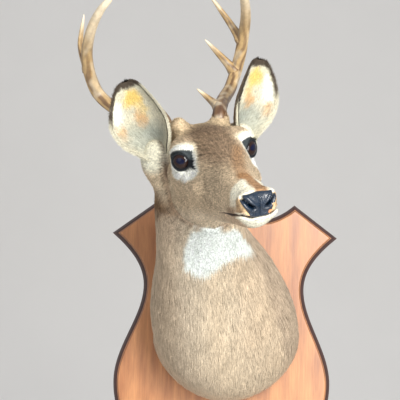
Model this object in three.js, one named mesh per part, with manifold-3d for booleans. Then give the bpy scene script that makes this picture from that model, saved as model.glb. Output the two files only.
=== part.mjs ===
// Deer shoulder mount: a buck's head and neck with hard antlers, on a shield-shaped wall board.
// Millimetres, +Z up. The wall is the plane y = 0, and the deer looks away from it, towards -Y.
import * as THREE from "three";
import { mergeVertices } from "three/addons/utils/BufferGeometryUtils.js";
import Module from "manifold-3d";

const wasm = await Module();
wasm.setup();

// ---- Driving dimensions ----
const GAP = 0.3;
const { degToRad } = THREE.MathUtils;

const BOARD_THICKNESS = 22;
const BOARD_EDGE = 9;
const BOARD_TIP = [196, 203];
const BOARD_SHOULDER = [121, 259];
const BOARD_SCALLOP = [74, 233];
const BOARD_WAIST = [139, 112];
const BOARD_BELLY = [186, -50];
const BOARD_HEEL = [100, -195];
const BOARD_TOE = -259;

// The head's own frame: x to the deer's left, y back, z up, with its origin between the eyes on the palate.
const HEAD_CENTRE = [-20, -360, 240];
const HEAD_TURN = degToRad(16.7);
const HEAD_NOD = degToRad(16.9);
const HEAD_TILT = degToRad(14.5);
const NECK_REACH = 322;
const HEAD_REACH = 116;
const NAPE_CUT = 84;
const NAPE_LEAN = degToRad(11.5);
const MUZZLE_BACK = -64;
const NOSE_FRONT = -188;
const SHOULDER_DEPTH = 128;

const EYE_RADIUS = 15.5;
const EYE_CENTRE = [45, -9, 56];
const EYE_FACING = degToRad(50);
const LID_OPENING = [12, 16.5, 13];
const EAR_LENGTH = 120;
const EAR_ROOT = [58, 74, 64];
const EAR_TIP = [97, 46, 168];
const EAR_FACING = degToRad(23);
const EAR_THICKNESS = 5;
const PEDICLE = [31, 50, 92];
const BEAM_RADIUS = 10;
const BURR_RADIUS = 13.5;
const BURR_STATION = 19;

const COAT_BLEND = 30;
const MUZZLE_CELL = 9;
const HEAD_CELL = 11;
const NECK_CELL = 22;

// ---- Profiles: each is a smooth curve through a few [station, value] pairs ----
function curve(knots) {
  const slopeAt = (i) => {
    const a = knots[Math.max(i - 1, 0)];
    const b = knots[Math.min(i + 1, knots.length - 1)];
    return (b[1] - a[1]) / (b[0] - a[0]);
  };
  const slopes = knots.map((_, i) => slopeAt(i));
  return (s) => {
    if (s <= knots[0][0]) return knots[0][1];
    if (s >= knots.at(-1)[0]) return knots.at(-1)[1];
    const i = knots.findIndex((knot) => knot[0] > s) - 1;
    const span = knots[i + 1][0] - knots[i][0];
    const t = (s - knots[i][0]) / span;
    const ease = t * t * (3 - 2 * t);
    const leave = t * (1 - t) * (1 - t) * span * slopes[i];
    const arrive = t * t * (1 - t) * span * slopes[i + 1];
    return knots[i][1] * (1 - ease) + knots[i + 1][1] * ease + leave - arrive;
  };
}

// The neck is a loft along the distance from the wall.
const neck = {
  top: curve([[22, 186], [80, 204], [140, 236], [200, 272], [250, 302], [300, 326], [340, 334]]),
  bottom: curve([[22, -77], [70, -78], [120, -60], [165, -22], [205, 32], [245, 100], [285, 172], [330, 215]]),
  centre: curve([[22, 6], [60, 4], [100, -3], [120, -12], [150, -24], [200, -38], [240, -43], [330, -58]]),
  width: curve([[22, 127], [60, 123], [100, 114], [120, 109], [150, 98], [200, 76], [240, 70], [290, 64], [330, 54]]),
  level: curve([[22, 28], [90, 45], [170, 105], [240, 190], [330, 272]]),
  squareness: 1.9,
};

// The head is a loft along its own y axis, from the nose to the nape.
const head = {
  top: curve([[-190, 33], [-165, 43], [-120, 54], [-80, 65], [-45, 79], [-10, 91], [30, 93], [65, 89], [95, 76], [125, 50]]),
  bottom: curve([[-190, -4], [-172, -12], [-155, -17], [-110, -23], [-50, -33], [0, -40], [45, -46], [75, -42], [125, -10]]),
  width: curve([[-190, 20], [-172, 25], [-140, 28.5], [-100, 33], [-65, 39], [-30, 46], [10, 50], [60, 50], [125, 42]]),
  level: curve([[-190, 16], [-140, 10], [-80, 16], [-20, 38], [30, 42], [125, 32]]),
  squareness: 2.2,
};

// ---- Signed fields, negative inside ----
function blend(a, b, reach) {
  const h = Math.max(reach - Math.abs(a - b), 0) / reach;
  return Math.min(a, b) - h * h * reach * 0.25;
}
const blendCut = (a, b, reach) => -blend(-a, -b, reach);

function lofted(shape, station, side, height) {
  const level = shape.level(station);
  const rise = height > level ? shape.top(station) - level : level - shape.bottom(station);
  const width = shape.width(station);
  const n = shape.squareness;
  const reach = Math.pow(Math.pow(side / width, n) + Math.pow(Math.abs(height - level) / rise, n), 1 / n);
  return (reach - 1) * Math.min(width, rise);
}

function ellipsoid(x, y, z, centre, radii) {
  const u = [(x - centre[0]) / radii[0], (y - centre[1]) / radii[1], (z - centre[2]) / radii[2]];
  const reach = Math.hypot(...u);
  const slope = Math.hypot(u[0] / radii[0], u[1] / radii[1], u[2] / radii[2]);
  return slope < 1e-9 ? -Math.min(...radii) : (reach * (reach - 1)) / slope;
}

function capsule(x, y, z, start, end, startRadius, endRadius) {
  const run = end.map((value, i) => value - start[i]);
  const from = [x - start[0], y - start[1], z - start[2]];
  const along = from[0] * run[0] + from[1] * run[1] + from[2] * run[2];
  const t = Math.min(Math.max(along / (run[0] ** 2 + run[1] ** 2 + run[2] ** 2), 0), 1);
  const away = Math.hypot(from[0] - t * run[0], from[1] - t * run[1], from[2] - t * run[2]);
  return away - startRadius - t * (endRadius - startRadius);
}

// The head, in its own frame; x is mirrored, so each form stands for both sides.
function headField(signedX, y, z) {
  const x = Math.abs(signedX);
  let f = lofted(head, y, x, z);
  f = blendCut(f, NOSE_FRONT - y - 0.25 * (z - 20), 18);
  f = blendCut(f, y - HEAD_REACH, 40);
  const orbit = ellipsoid(x, y, z, [40, 2, 60], [21, 31, 27]);
  f = blend(f, orbit, 14);
  const cheekbone = capsule(x, y, z, [39, -50, 22], [49, 26, 31], 9, 13);
  f = blend(f, cheekbone, 18);
  const jawMuscle = ellipsoid(x, y, z, [28, 32, -8], [21, 36, 34]);
  f = blend(f, jawMuscle, 18);
  const earButt = ellipsoid(x, y, z, [60, 74, 46], [29, 24, 34]);
  f = blend(f, earButt, 18);
  const pedicleBase = capsule(x, y, z, [27, 46, 80], PEDICLE, 17, 13.5);
  f = blend(f, pedicleBase, 12);
  const nostrilWing = ellipsoid(x, y, z, [13, -176, 25], [12, 13, 13]);
  f = blend(f, nostrilWing, 8);
  const upperLip = ellipsoid(x, y, z, [15, -158, 8], [13, 26, 10]);
  f = blend(f, upperLip, 8);
  const tearHollow = ellipsoid(x, y, z, [53, -38, 51], [7, 17, 10]);
  return blendCut(f, -tearHollow, 10);
}

function neckField(x, y, z) {
  const f = lofted(neck, -y, Math.abs(x - neck.centre(-y)), z);
  return blendCut(f, -y - NECK_REACH, 40);
}

const headGroup = new THREE.Group();
headGroup.position.set(...HEAD_CENTRE);
headGroup.rotation.set(HEAD_NOD, -HEAD_TILT, HEAD_TURN, "ZXY");
headGroup.updateMatrixWorld();
const headToWorld = headGroup.matrixWorld.clone();
const worldToHead = headToWorld.clone().invert();

// The plane between head and neck, from behind the ears to the throat: y = 0 in a frame of its own.
const napeInHead = new THREE.Matrix4().makeRotationX(-NAPE_LEAN).setPosition(0, NAPE_CUT, 0);
const mouthPlane = new THREE.Matrix4().makeRotationX(-0.03).setPosition(0, -180, 2);
const pastNape = (y, z) => (y - NAPE_CUT) * Math.cos(NAPE_LEAN) - z * Math.sin(NAPE_LEAN);

const probe = new THREE.Vector3();
function coatInHeadFrame(x, y, z) {
  probe.set(x, y, z).applyMatrix4(headToWorld);
  return blend(headField(x, y, z), neckField(probe.x, probe.y, probe.z), COAT_BLEND);
}
function coatInWorldFrame(x, y, z) {
  probe.set(x, y, z).applyMatrix4(worldToHead);
  return blend(headField(probe.x, probe.y, probe.z), neckField(x, y, z), COAT_BLEND);
}

// ---- Meshing a field: one vertex in each crossed cell, drawn onto the surface ----
const CELL_CORNERS = [0, 1, 2, 3, 4, 5, 6, 7].map((c) => [c & 1, (c >> 1) & 1, c >> 2]);
const CELL_EDGES = [];
for (let a = 0; a < 8; a++) {
  for (const bit of [1, 2, 4]) {
    if (!(a & bit)) CELL_EDGES.push([a, a | bit]);
  }
}

function slopeOf(field, point) {
  const step = 0.2;
  const value = field(...point);
  return [0, 1, 2].map((axis) => {
    const ahead = point.slice();
    ahead[axis] += step;
    return (field(...ahead) - value) / step;
  });
}

function drawOnto(field, point) {
  for (let pass = 0; pass < 3; pass++) {
    const value = field(...point);
    const slope = slopeOf(field, point);
    const steepness = Math.max(slope[0] ** 2 + slope[1] ** 2 + slope[2] ** 2, 0.04);
    for (let axis = 0; axis < 3; axis++) point[axis] -= (value * slope[axis]) / steepness;
  }
  return point;
}

// Where grow is over 0, the mesh is the same one with each vertex moved out by that distance.
function meshField(field, low, high, cell, grow = 0) {
  const counts = low.map((value, axis) => Math.ceil((high[axis] - value) / cell));
  const rows = counts.map((count) => count + 1);
  const indexOf = (i, j, k) => (i * rows[1] + j) * rows[2] + k;
  const values = new Float64Array(rows[0] * rows[1] * rows[2]);
  const place = (i, j, k) => [low[0] + i * cell, low[1] + j * cell, low[2] + k * cell];
  for (let i = 0; i < rows[0]; i++) {
    for (let j = 0; j < rows[1]; j++) {
      for (let k = 0; k < rows[2]; k++) values[indexOf(i, j, k)] = field(...place(i, j, k));
    }
  }
  const vertexOf = new Map();
  const positions = [];
  for (let i = 0; i < counts[0]; i++) {
    for (let j = 0; j < counts[1]; j++) {
      for (let k = 0; k < counts[2]; k++) {
        const corner = CELL_CORNERS.map(([a, b, c]) => values[indexOf(i + a, j + b, k + c)]);
        const crossings = CELL_EDGES.filter(([a, b]) => corner[a] < 0 !== corner[b] < 0);
        if (!crossings.length) continue;
        const sum = [0, 0, 0];
        for (const [a, b] of crossings) {
          const t = corner[a] / (corner[a] - corner[b]);
          for (let axis = 0; axis < 3; axis++) {
            sum[axis] += CELL_CORNERS[a][axis] + t * (CELL_CORNERS[b][axis] - CELL_CORNERS[a][axis]);
          }
        }
        const start = place(i, j, k).map((value, axis) => value + (sum[axis] / crossings.length) * cell);
        vertexOf.set(indexOf(i, j, k), positions.length / 3);
        const point = drawOnto(field, start);
        const outward = slopeOf(field, point);
        const steepness = Math.hypot(...outward);
        positions.push(...point.map((value, axis) => value + (grow * outward[axis]) / steepness));
      }
    }
  }
  const faces = [];
  for (let i = 0; i < counts[0]; i++) {
    for (let j = 0; j < counts[1]; j++) {
      for (let k = 0; k < counts[2]; k++) {
        const here = values[indexOf(i, j, k)] < 0;
        for (let axis = 0; axis < 3; axis++) {
          const next = [i, j, k];
          next[axis] += 1;
          const [p, q] = [(axis + 1) % 3, (axis + 2) % 3];
          if (here === values[indexOf(...next)] < 0 || next[p] < 1 || next[q] < 1) continue;
          const ring = [[0, 0], [1, 0], [1, 1], [0, 1]].map(([stepP, stepQ]) => {
            const cellAt = [i, j, k];
            cellAt[p] -= stepP;
            cellAt[q] -= stepQ;
            return vertexOf.get(indexOf(...cellAt));
          });
          if (!here) ring.reverse();
          const apart = (a, b) => Math.hypot(...[0, 1, 2].map((n) => positions[3 * a + n] - positions[3 * b + n]));
          if (apart(ring[1], ring[3]) < apart(ring[0], ring[2])) ring.push(ring.shift());
          faces.push(ring[0], ring[1], ring[2], ring[0], ring[2], ring[3]);
        }
      }
    }
  }
  return solidFrom(positions, faces);
}

// ---- Solids ----
function solidFrom(positions, faces) {
  const geometry = new THREE.BufferGeometry();
  geometry.setAttribute("position", new THREE.Float32BufferAttribute(positions, 3));
  geometry.setIndex(faces);
  return solidOf(geometry);
}

function solidOf(geometry) {
  const bare = new THREE.BufferGeometry();
  bare.setAttribute("position", geometry.getAttribute("position"));
  bare.setIndex(geometry.getIndex());
  const merged = mergeVertices(bare, 1e-4);
  return new wasm.Manifold(
    new wasm.Mesh({
      numProp: 3,
      vertProperties: new Float32Array(merged.attributes.position.array),
      triVerts: new Uint32Array(merged.index.array),
    }),
  );
}

function geometryOf(solid) {
  const { vertProperties, triVerts } = solid.getMesh();
  const geometry = new THREE.BufferGeometry();
  geometry.setAttribute("position", new THREE.Float32BufferAttribute(vertProperties, 3));
  geometry.setIndex(Array.from(triVerts));
  geometry.computeVertexNormals();
  return geometry;
}

// The biggest body of a solid: a cut can leave a crumb beside it.
const largest = (solid) => solid.decompose().sort((a, b) => b.volume() - a.volume())[0];

// A box between two corners, turned by an optional matrix: it parts the body into its nodes.
function block(low, high, matrix = new THREE.Matrix4()) {
  const size = high.map((value, axis) => value - low[axis]);
  const geometry = new THREE.BoxGeometry(...size);
  geometry.translate(...high.map((value, axis) => (value + low[axis]) / 2));
  geometry.applyMatrix4(matrix);
  return solidOf(geometry);
}

// A closed skin over rings of equal count; each end closes on its ring's centre.
function ringed(rings) {
  const count = rings[0].length;
  const positions = rings.flat(2);
  const centreOf = (ring) => [0, 1, 2].map((axis) => ring.reduce((sum, p) => sum + p[axis], 0) / count);
  const firstCentre = positions.length / 3;
  positions.push(...centreOf(rings[0]), ...centreOf(rings.at(-1)));
  const faces = [];
  for (let side = 0; side < count; side++) {
    const next = (side + 1) % count;
    for (let row = 0; row + 1 < rings.length; row++) {
      const [a, b] = [row * count + side, row * count + next];
      faces.push(a, b, b + count, a, b + count, a + count);
    }
    const last = (rings.length - 1) * count;
    faces.push(firstCentre, next, side, firstCentre + 1, last + side, last + next);
  }
  return solidFrom(positions, faces);
}

const evenly = (from, to, steps) =>
  Array.from({ length: steps + 1 }, (_, i) => from + ((to - from) * i) / steps);

// A round bar along a curve, with a ring at each station; a station is the length run, as is radiusAt's input.
function bar(path, stations, radiusAt) {
  const sides = 7;
  const length = path.getLength();
  const frames = path.computeFrenetFrames(120, false);
  const rings = [];
  for (const station of stations) {
    const u = Math.min(station / length, 1);
    const centre = path.getPointAt(u);
    const frame = Math.round(u * 120);
    const radius = radiusAt(station);
    const ring = [];
    for (let side = 0; side < sides; side++) {
      const angle = (2 * Math.PI * side) / sides;
      const point = centre.clone();
      point.addScaledVector(frames.normals[frame], radius * Math.cos(angle));
      point.addScaledVector(frames.binormals[frame], radius * Math.sin(angle));
      ring.push(point.toArray());
    }
    rings.push(ring);
  }
  return ringed(rings);
}

// ---- The board ----
function boardOutline() {
  const shape = new THREE.Shape();
  shape.moveTo(0, BOARD_SHOULDER[1]);
  shape.quadraticCurveTo(35, BOARD_SCALLOP[1], ...BOARD_SCALLOP);
  shape.quadraticCurveTo(98, BOARD_SCALLOP[1] + 6, ...BOARD_SHOULDER);
  shape.lineTo(...BOARD_TIP);
  shape.bezierCurveTo(164, 176, BOARD_WAIST[0], 148, ...BOARD_WAIST);
  shape.bezierCurveTo(BOARD_WAIST[0], 58, BOARD_BELLY[0], 8, ...BOARD_BELLY);
  shape.bezierCurveTo(BOARD_BELLY[0], -110, 152, -166, ...BOARD_HEEL);
  shape.bezierCurveTo(62, -216, 24, -232, 0, BOARD_TOE);
  const right = [];
  for (const part of shape.curves) {
    const steps = part.isLineCurve ? 1 : part.type === "CubicBezierCurve" ? 5 : 3;
    part.getPoints(steps).slice(0, -1).forEach((p) => right.push(p));
  }
  const left = right.slice(1).reverse().map((p) => new THREE.Vector2(-p.x, p.y));
  return [...right, new THREE.Vector2(0, BOARD_TOE), ...left];
}

// Moves each corner of a closed outline inwards by the same distance from both its sides.
function inset(outline, distance) {
  return outline.map((corner, i) => {
    const before = outline.at(i - 1);
    const after = outline[(i + 1) % outline.length];
    const arrive = corner.clone().sub(before).normalize();
    const leave = after.clone().sub(corner).normalize();
    const bisector = arrive.clone().add(leave).normalize();
    const reach = distance / Math.max(bisector.dot(arrive), 0.3);
    return corner.clone().add(new THREE.Vector2(bisector.y, -bisector.x).multiplyScalar(reach));
  });
}

function makeBoard() {
  const outline = boardOutline();
  const [edge, depth] = [BOARD_EDGE, BOARD_THICKNESS];
  const steps = [[0, 0], [0, 11], [0.15 * edge, 15], [0.45 * edge, 18], [0.9 * edge, 19.3], [edge, depth]];
  const rings = steps.map(([inwards, forwards]) =>
    inset(outline, inwards).map((p) => [p.x, -forwards, p.y]),
  );
  const count = outline.length;
  const positions = rings.flat(2);
  const faces = [];
  for (let row = 0; row + 1 < rings.length; row++) {
    for (let side = 0; side < count; side++) {
      const next = (side + 1) % count;
      const [a, b] = [row * count + side, row * count + next];
      faces.push(a, b + count, b, a, a + count, b + count);
    }
  }
  const front = (rings.length - 1) * count;
  for (const [a, b, c] of THREE.ShapeUtils.triangulateShape(outline, [])) {
    const turn = outline[b].clone().sub(outline[a]).cross(outline[c].clone().sub(outline[a]));
    const [second, third] = turn > 0 ? [c, b] : [b, c];
    faces.push(a, second, third, front + a, front + third, front + second);
  }
  return solidFrom(positions, faces);
}

// ---- Ears, eyes and antlers, for the deer's left side; side = -1 mirrors them ----
const earWidth = curve([
  [0, 13], [0.12, 21], [0.3, 34], [0.5, 39.5], [0.7, 33.5], [0.86, 24], [0.95, 16.5], [0.985, 11.5], [1, 6.5],
]);
const earCup = curve([[0, 24], [0.25, 25], [0.5, 20], [0.8, 11], [1, 2]]);

function makeEar(side) {
  const [along, across, rows, columns] = [new THREE.Vector3(), new THREE.Vector3(), 10, 6];
  const root = new THREE.Vector3(...EAR_ROOT);
  along.set(...EAR_TIP).sub(root).normalize();
  across.set(1, 0, 0).addScaledVector(along, -along.x).normalize();
  across.applyAxisAngle(along, EAR_FACING);
  const forward = across.clone().cross(along);
  const start = new THREE.Vector3(...EAR_TIP).addScaledVector(along, -EAR_LENGTH);
  const middle = (u, v) => {
    const width = earWidth(u);
    const point = start.clone().addScaledVector(along, u * EAR_LENGTH);
    point.addScaledVector(across, width * Math.sin((v * Math.PI) / 2) + 5 * Math.sin(Math.PI * u));
    point.addScaledVector(forward, earCup(u) * (1 - Math.cos((v * Math.PI) / 2)));
    return point;
  };
  const faceNormal = (u, v) => {
    const [low, high] = [Math.max(u - 0.02, 0), Math.min(u + 0.02, 1)];
    const run = middle(high, v).sub(middle(low, v));
    const turn = middle(u, Math.min(v + 0.04, 1)).sub(middle(u, Math.max(v - 0.04, -1)));
    return turn.cross(run).normalize();
  };
  const sheet = (offset) => {
    const grid = [];
    for (let row = 0; row <= rows; row++) {
      for (let column = 0; column <= columns; column++) {
        const [u, v] = [row / rows, (2 * column) / columns - 1];
        const thin = 1 - 0.45 * v * v;
        const depth = offset * (EAR_THICKNESS / 2) * thin;
        grid.push(middle(u, v).addScaledVector(faceNormal(u, v), depth));
      }
    }
    return grid;
  };
  const points = [...sheet(1), ...sheet(-1)];
  const positions = points.flatMap((p) => [side * p.x, p.y, p.z]);
  const faces = [];
  const wide = columns + 1;
  const back = wide * (rows + 1);
  const quad = (a, b, c, d) => faces.push(a, b, c, a, c, d);
  for (let row = 0; row < rows; row++) {
    for (let column = 0; column < columns; column++) {
      const a = row * wide + column;
      quad(a, a + 1, a + 1 + wide, a + wide);
      quad(back + a, back + a + wide, back + a + 1 + wide, back + a + 1);
    }
    const [leftEdge, rightEdge] = [row * wide, row * wide + columns];
    quad(leftEdge, leftEdge + wide, back + leftEdge + wide, back + leftEdge);
    quad(rightEdge, back + rightEdge, back + rightEdge + wide, rightEdge + wide);
  }
  for (let column = 0; column < columns; column++) {
    const tip = rows * wide + column;
    quad(column, back + column, back + column + 1, column + 1);
    quad(tip, tip + 1, back + tip + 1, back + tip);
  }
  if (side > 0) return solidFrom(positions, faces);
  return solidFrom(positions, faces.reverse());
}

// The gap between the lids, cut through the orbit down to the eyeball.
function makeLidOpening(side) {
  const opening = new THREE.SphereGeometry(1, 12, 8);
  opening.scale(...LID_OPENING);
  opening.rotateY(side * 0.12);
  opening.rotateZ(side * -EYE_FACING);
  const reach = EYE_RADIUS + 0.35 * LID_OPENING[0];
  const [x, y, z] = EYE_CENTRE;
  opening.translate(side * (x + reach * Math.cos(EYE_FACING)), y - reach * Math.sin(EYE_FACING), z);
  return solidOf(opening);
}

function makeEye(side, grow) {
  const ball = new THREE.SphereGeometry(EYE_RADIUS + grow, 12, 8);
  ball.rotateZ(Math.PI / 2);
  ball.translate(side * EYE_CENTRE[0], EYE_CENTRE[1], EYE_CENTRE[2]);
  return solidOf(ball);
}

// Points of an antler are given from its pedicle as [outwards, back, up].
function antlerPoint(side, [out, back, up]) {
  const [x, y, z] = PEDICLE;
  return new THREE.Vector3(side * (x + out), y + back, z + up);
}
const antlerCurve = (side, points) =>
  new THREE.CatmullRomCurve3(points.map((point) => antlerPoint(side, point)), false, "centripetal");

// The right antler leaves the skull a little lower and further back than the left one.
const BEAM_START = {
  1: [[-3, -5, -14], [1, 2, 8]],
  [-1]: [[0, 6, -28], [7, 23, -13]],
};
const BEAM_PATH = [
  [17, 43, 15],
  [41, 100, 16],
  [63, 142, 22],
  [81, 161, 44],
  [90, 153, 72],
  [94, 135, 104],
  [92, 109, 130],
  [85, 83, 155],
  [73, 57, 177],
  [57, 35, 193],
];
const beamTaper = curve([[0, 1], [0.35, 1], [0.55, 0.94], [0.7, 0.84], [0.85, 0.68], [0.95, 0.5], [1, 0.32]]);

// Each tine leaves the beam at a share of its length; the right antler has one tine fewer.
const TINES = {
  1: [
    { name: "brow_tine", at: 0.1, tip: [-13, 59, 41], radius: 7.5, bow: 4 },
    { name: "second_tine", at: 0.5, tip: [37, 159, 101], radius: 8, bow: 4 },
    { name: "third_tine", at: 0.625, tip: [55, 173, 172], radius: 7.2, bow: 4 },
  ],
  [-1]: [
    { name: "brow_tine", at: 0.11, tip: [8, 80, 27], radius: 7, bow: -3 },
    { name: "second_tine", at: 0.6, tip: [77, 205, 165], radius: 7.2, bow: 9 },
  ],
};
const FORKS = { second: 0.53, third: 0.655 };

function makeAntler(side) {
  const beam = antlerCurve(side, [...BEAM_START[side], ...BEAM_PATH]);
  const length = beam.getLength();
  const beamRadius = (s) => {
    const burr = (BURR_RADIUS - BEAM_RADIUS) * Math.exp(-(((s - BURR_STATION) / 5) ** 2));
    const point = Math.min(1, Math.sqrt(Math.max(length - s, 0.4) / 14));
    return (BEAM_RADIUS * beamTaper(s / length) + burr) * point;
  };
  const burrStations = [-9, -4, 0, 4, 9, 20].map((offset) => BURR_STATION + offset);
  const [second, third] = [FORKS.second * length, FORKS.third * length];
  const lowerStations = evenly(burrStations.at(-1), second, 9).slice(1);
  const pieces = {
    beam_lower: bar(beam, [GAP, ...burrStations, ...lowerStations], beamRadius),
    beam_middle: bar(beam, evenly(second + GAP, third, 5), beamRadius),
    beam_upper: bar(beam, evenly(third + GAP, length, 10), beamRadius),
  };
  const clearance = bar(beam, evenly(0, length, 40), (s) => beamRadius(s) / Math.cos(Math.PI / 7) + 2 * GAP);
  for (const tine of TINES[side]) {
    const start = beam.getPointAt(tine.at);
    const tip = antlerPoint(side, tine.tip);
    const bow = start.clone().lerp(tip, 0.5).add(new THREE.Vector3(side * tine.bow, 3, -4));
    const path = new THREE.CatmullRomCurve3([start, bow, tip]);
    const run = path.getLength();
    const tineRadius = (s) => tine.radius * Math.sqrt(Math.max(1 - s / run, 0.01)) * (1 - (0.15 * s) / run);
    pieces[tine.name] = largest(bar(path, evenly(0, run, 8), tineRadius).subtract(clearance));
  }
  return pieces;
}

// ---- The body, meshed as a whole and parted by thin cuts ----
function makeMuzzleParts() {
  const field = (x, y, z) => blendCut(coatInHeadFrame(x, y, z), y - MUZZLE_BACK - 14, 12);
  const far = 400;
  const whole = meshField(field, [-64, -204, -60], [64, MUZZLE_BACK + 26, 100], MUZZLE_CELL);
  const solid = whole.subtract(block([-far, MUZZLE_BACK - GAP, -far], [far, far, far]));
  const [noseBack, noseBottom, noseTop] = [-173, 7, 35];
  const nose = (gap) => block([-far, -far, noseBottom - gap], [far, noseBack + gap, noseTop + gap]);
  const upper = solid.subtract(block([-far, -far, -far], [far, far, GAP], mouthPlane));
  return {
    lower_jaw: solid.intersect(block([-far, -far, -far], [far, far, 0], mouthPlane)),
    nose: upper.intersect(nose(0)),
    muzzle: upper.subtract(nose(GAP)),
  };
}

function makeHead(grow) {
  const margin = 18;
  const clip = (y, z) => Math.max(pastNape(y, z) - margin, MUZZLE_BACK - margin - y);
  const field = (x, y, z) => blendCut(coatInHeadFrame(x, y, z), clip(y, z), 16);
  const [low, high] = [[-118, MUZZLE_BACK - 32, -170], [118, NAPE_CUT + 58, 132]];
  const whole = meshField(field, low, high, HEAD_CELL, grow);
  if (grow) return whole;
  const far = 400;
  const solid = whole.subtract(block([-far, 0, -far], [far, far, far], napeInHead));
  return solid.subtract(block([-far, -far, -far], [far, MUZZLE_BACK, far]));
}

function makeNeckParts() {
  const local = new THREE.Vector3();
  const field = (x, y, z) => {
    local.set(x, y, z).applyMatrix4(worldToHead);
    const clip = Math.max(-32 - pastNape(local.y, local.z), y);
    return blendCut(coatInWorldFrame(x, y, z), clip, 24);
  };
  const far = 700;
  const napeInWorld = headToWorld.clone().multiply(napeInHead);
  const front = block([-far, -far, -far], [far, GAP, far], napeInWorld);
  const wallSide = block([-far, -BOARD_THICKNESS - GAP, -far], [far, far, far]);
  const whole = meshField(field, [-152, -410, -116], [152, 24, 396], NECK_CELL);
  const solid = whole.subtract(front).subtract(wallSide);
  const split = -SHOULDER_DEPTH;
  return {
    neck: solid.intersect(block([-far, -far, -far], [far, split - GAP, far])),
    shoulders: solid.intersect(block([-far, split, -far], [far, far, far])),
  };
}

// ---- Materials and the scene graph ----
const paint = (color, roughness) => () => new THREE.MeshStandardMaterial({ color, roughness, metalness: 0 });
const walnut = paint(0xa8663c, 0.4);
const fawnCoat = paint(0xb79a76, 0.85);
const greyCoat = paint(0x8f7c66, 0.85);
const noseSkin = paint(0x1b1c22, 0.3);
const glassEye = paint(0x120b08, 0.05);
const antlerBone = paint(0xcdb184, 0.55);

function addPart(group, name, solid, material) {
  const mesh = new THREE.Mesh(geometryOf(solid), material());
  mesh.name = name;
  group.add(mesh);
}

const root = new THREE.Group();
root.add(headGroup);
addPart(root, "board", makeBoard(), walnut);

let headSolid = makeHead(0);
const headSpace = makeHead(0.45);
for (const [label, side] of [["left", 1], ["right", -1]]) {
  for (const [name, solid] of Object.entries(makeAntler(side))) {
    addPart(headGroup, `antler_${label}_${name}`, largest(solid.subtract(headSpace)), antlerBone);
  }
  addPart(headGroup, `ear_${label}`, largest(makeEar(side).subtract(headSpace)), greyCoat);
  addPart(headGroup, `eye_${label}`, makeEye(side, 0), glassEye);
  headSolid = headSolid.subtract(makeEye(side, GAP)).subtract(makeLidOpening(side));
}
addPart(headGroup, "head", headSolid, greyCoat);

const muzzleParts = makeMuzzleParts();
addPart(headGroup, "muzzle", muzzleParts.muzzle, greyCoat);
addPart(headGroup, "lower_jaw", muzzleParts.lower_jaw, fawnCoat);
addPart(headGroup, "nose", muzzleParts.nose, noseSkin);

const neckParts = makeNeckParts();
addPart(root, "neck", neckParts.neck, fawnCoat);
addPart(root, "shoulders", neckParts.shoulders, fawnCoat);

export default root;
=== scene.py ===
import math

import bpy
import numpy as np
from mathutils import Matrix


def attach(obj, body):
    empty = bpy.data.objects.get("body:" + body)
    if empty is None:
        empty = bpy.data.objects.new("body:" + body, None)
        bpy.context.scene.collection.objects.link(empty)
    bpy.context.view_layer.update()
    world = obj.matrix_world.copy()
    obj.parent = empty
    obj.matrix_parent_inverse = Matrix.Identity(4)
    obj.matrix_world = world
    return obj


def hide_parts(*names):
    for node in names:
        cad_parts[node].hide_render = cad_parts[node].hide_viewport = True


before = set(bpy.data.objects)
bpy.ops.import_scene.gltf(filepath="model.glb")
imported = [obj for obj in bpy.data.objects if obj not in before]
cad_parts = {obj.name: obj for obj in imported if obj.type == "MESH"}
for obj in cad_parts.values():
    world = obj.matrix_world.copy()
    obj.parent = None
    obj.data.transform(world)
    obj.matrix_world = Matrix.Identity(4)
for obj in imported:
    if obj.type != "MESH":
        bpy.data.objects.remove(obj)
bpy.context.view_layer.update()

MM = 0.001
rng = np.random.default_rng(11)

# ---- Sizes shared with the CAD ----
HEAD_CENTRE = np.array([-20.0, -360.0, 240.0])
HEAD_TURN, HEAD_NOD, HEAD_TILT = (math.radians(a) for a in (16.7, 16.9, 14.5))
NECK_REACH, HEAD_REACH, NOSE_FRONT = 322, 116, -188
NAPE_CUT, NAPE_LEAN = 84, math.radians(11.5)
COAT_BLEND = 30
BOARD_THICKNESS, BOARD_EDGE = 22, 9
EYE_RADIUS, EYE_FACING = 15.5, math.radians(50)
EYE_CENTRE = np.array([45.0, -9.0, 56.0])
EAR_LENGTH, EAR_FACING = 120, math.radians(23)
EAR_ROOT, EAR_TIP = np.array([58.0, 74, 64]), np.array([97.0, 46, 168])
PEDICLE = np.array([31.0, 50, 92])
BEAM_RADIUS, BURR_RADIUS, BURR_STATION = 10, 13.5, 19


# ---- Small maths ----
def unit(v):
    return v / np.maximum(np.linalg.norm(v, axis=-1, keepdims=True), 1e-9)


def smooth(low, high, value):
    t = np.clip((value - low) / (high - low), 0, 1)
    return t * t * (3 - 2 * t)


def bump_at(value, centre, width):
    return np.exp(-(((value - centre) / width) ** 2))


def mix(a, b, share):
    share = np.asarray(share, float)
    share = share[:, None] if share.ndim == 1 else share
    return a * (1 - share) + b * share


def curve(knots):
    """A smooth curve through [station, value] pairs, level with its ends outside them."""
    xs, ys = np.array(knots, float).T
    index = np.arange(len(xs))
    before, after = np.maximum(index - 1, 0), np.minimum(index + 1, len(xs) - 1)
    slopes = (ys[after] - ys[before]) / (xs[after] - xs[before])

    def at(station):
        s = np.clip(station, xs[0], xs[-1])
        i = np.clip(np.searchsorted(xs, s, side="right") - 1, 0, len(xs) - 2)
        span = xs[i + 1] - xs[i]
        t = (s - xs[i]) / span
        ease = t * t * (3 - 2 * t)
        leave = t * (1 - t) ** 2 * span * slopes[i]
        arrive = t * t * (1 - t) * span * slopes[i + 1]
        return ys[i] * (1 - ease) + ys[i + 1] * ease + leave - arrive

    return at


def turned(axis, angle):
    return np.array(Matrix.Rotation(angle, 3, axis))


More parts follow.
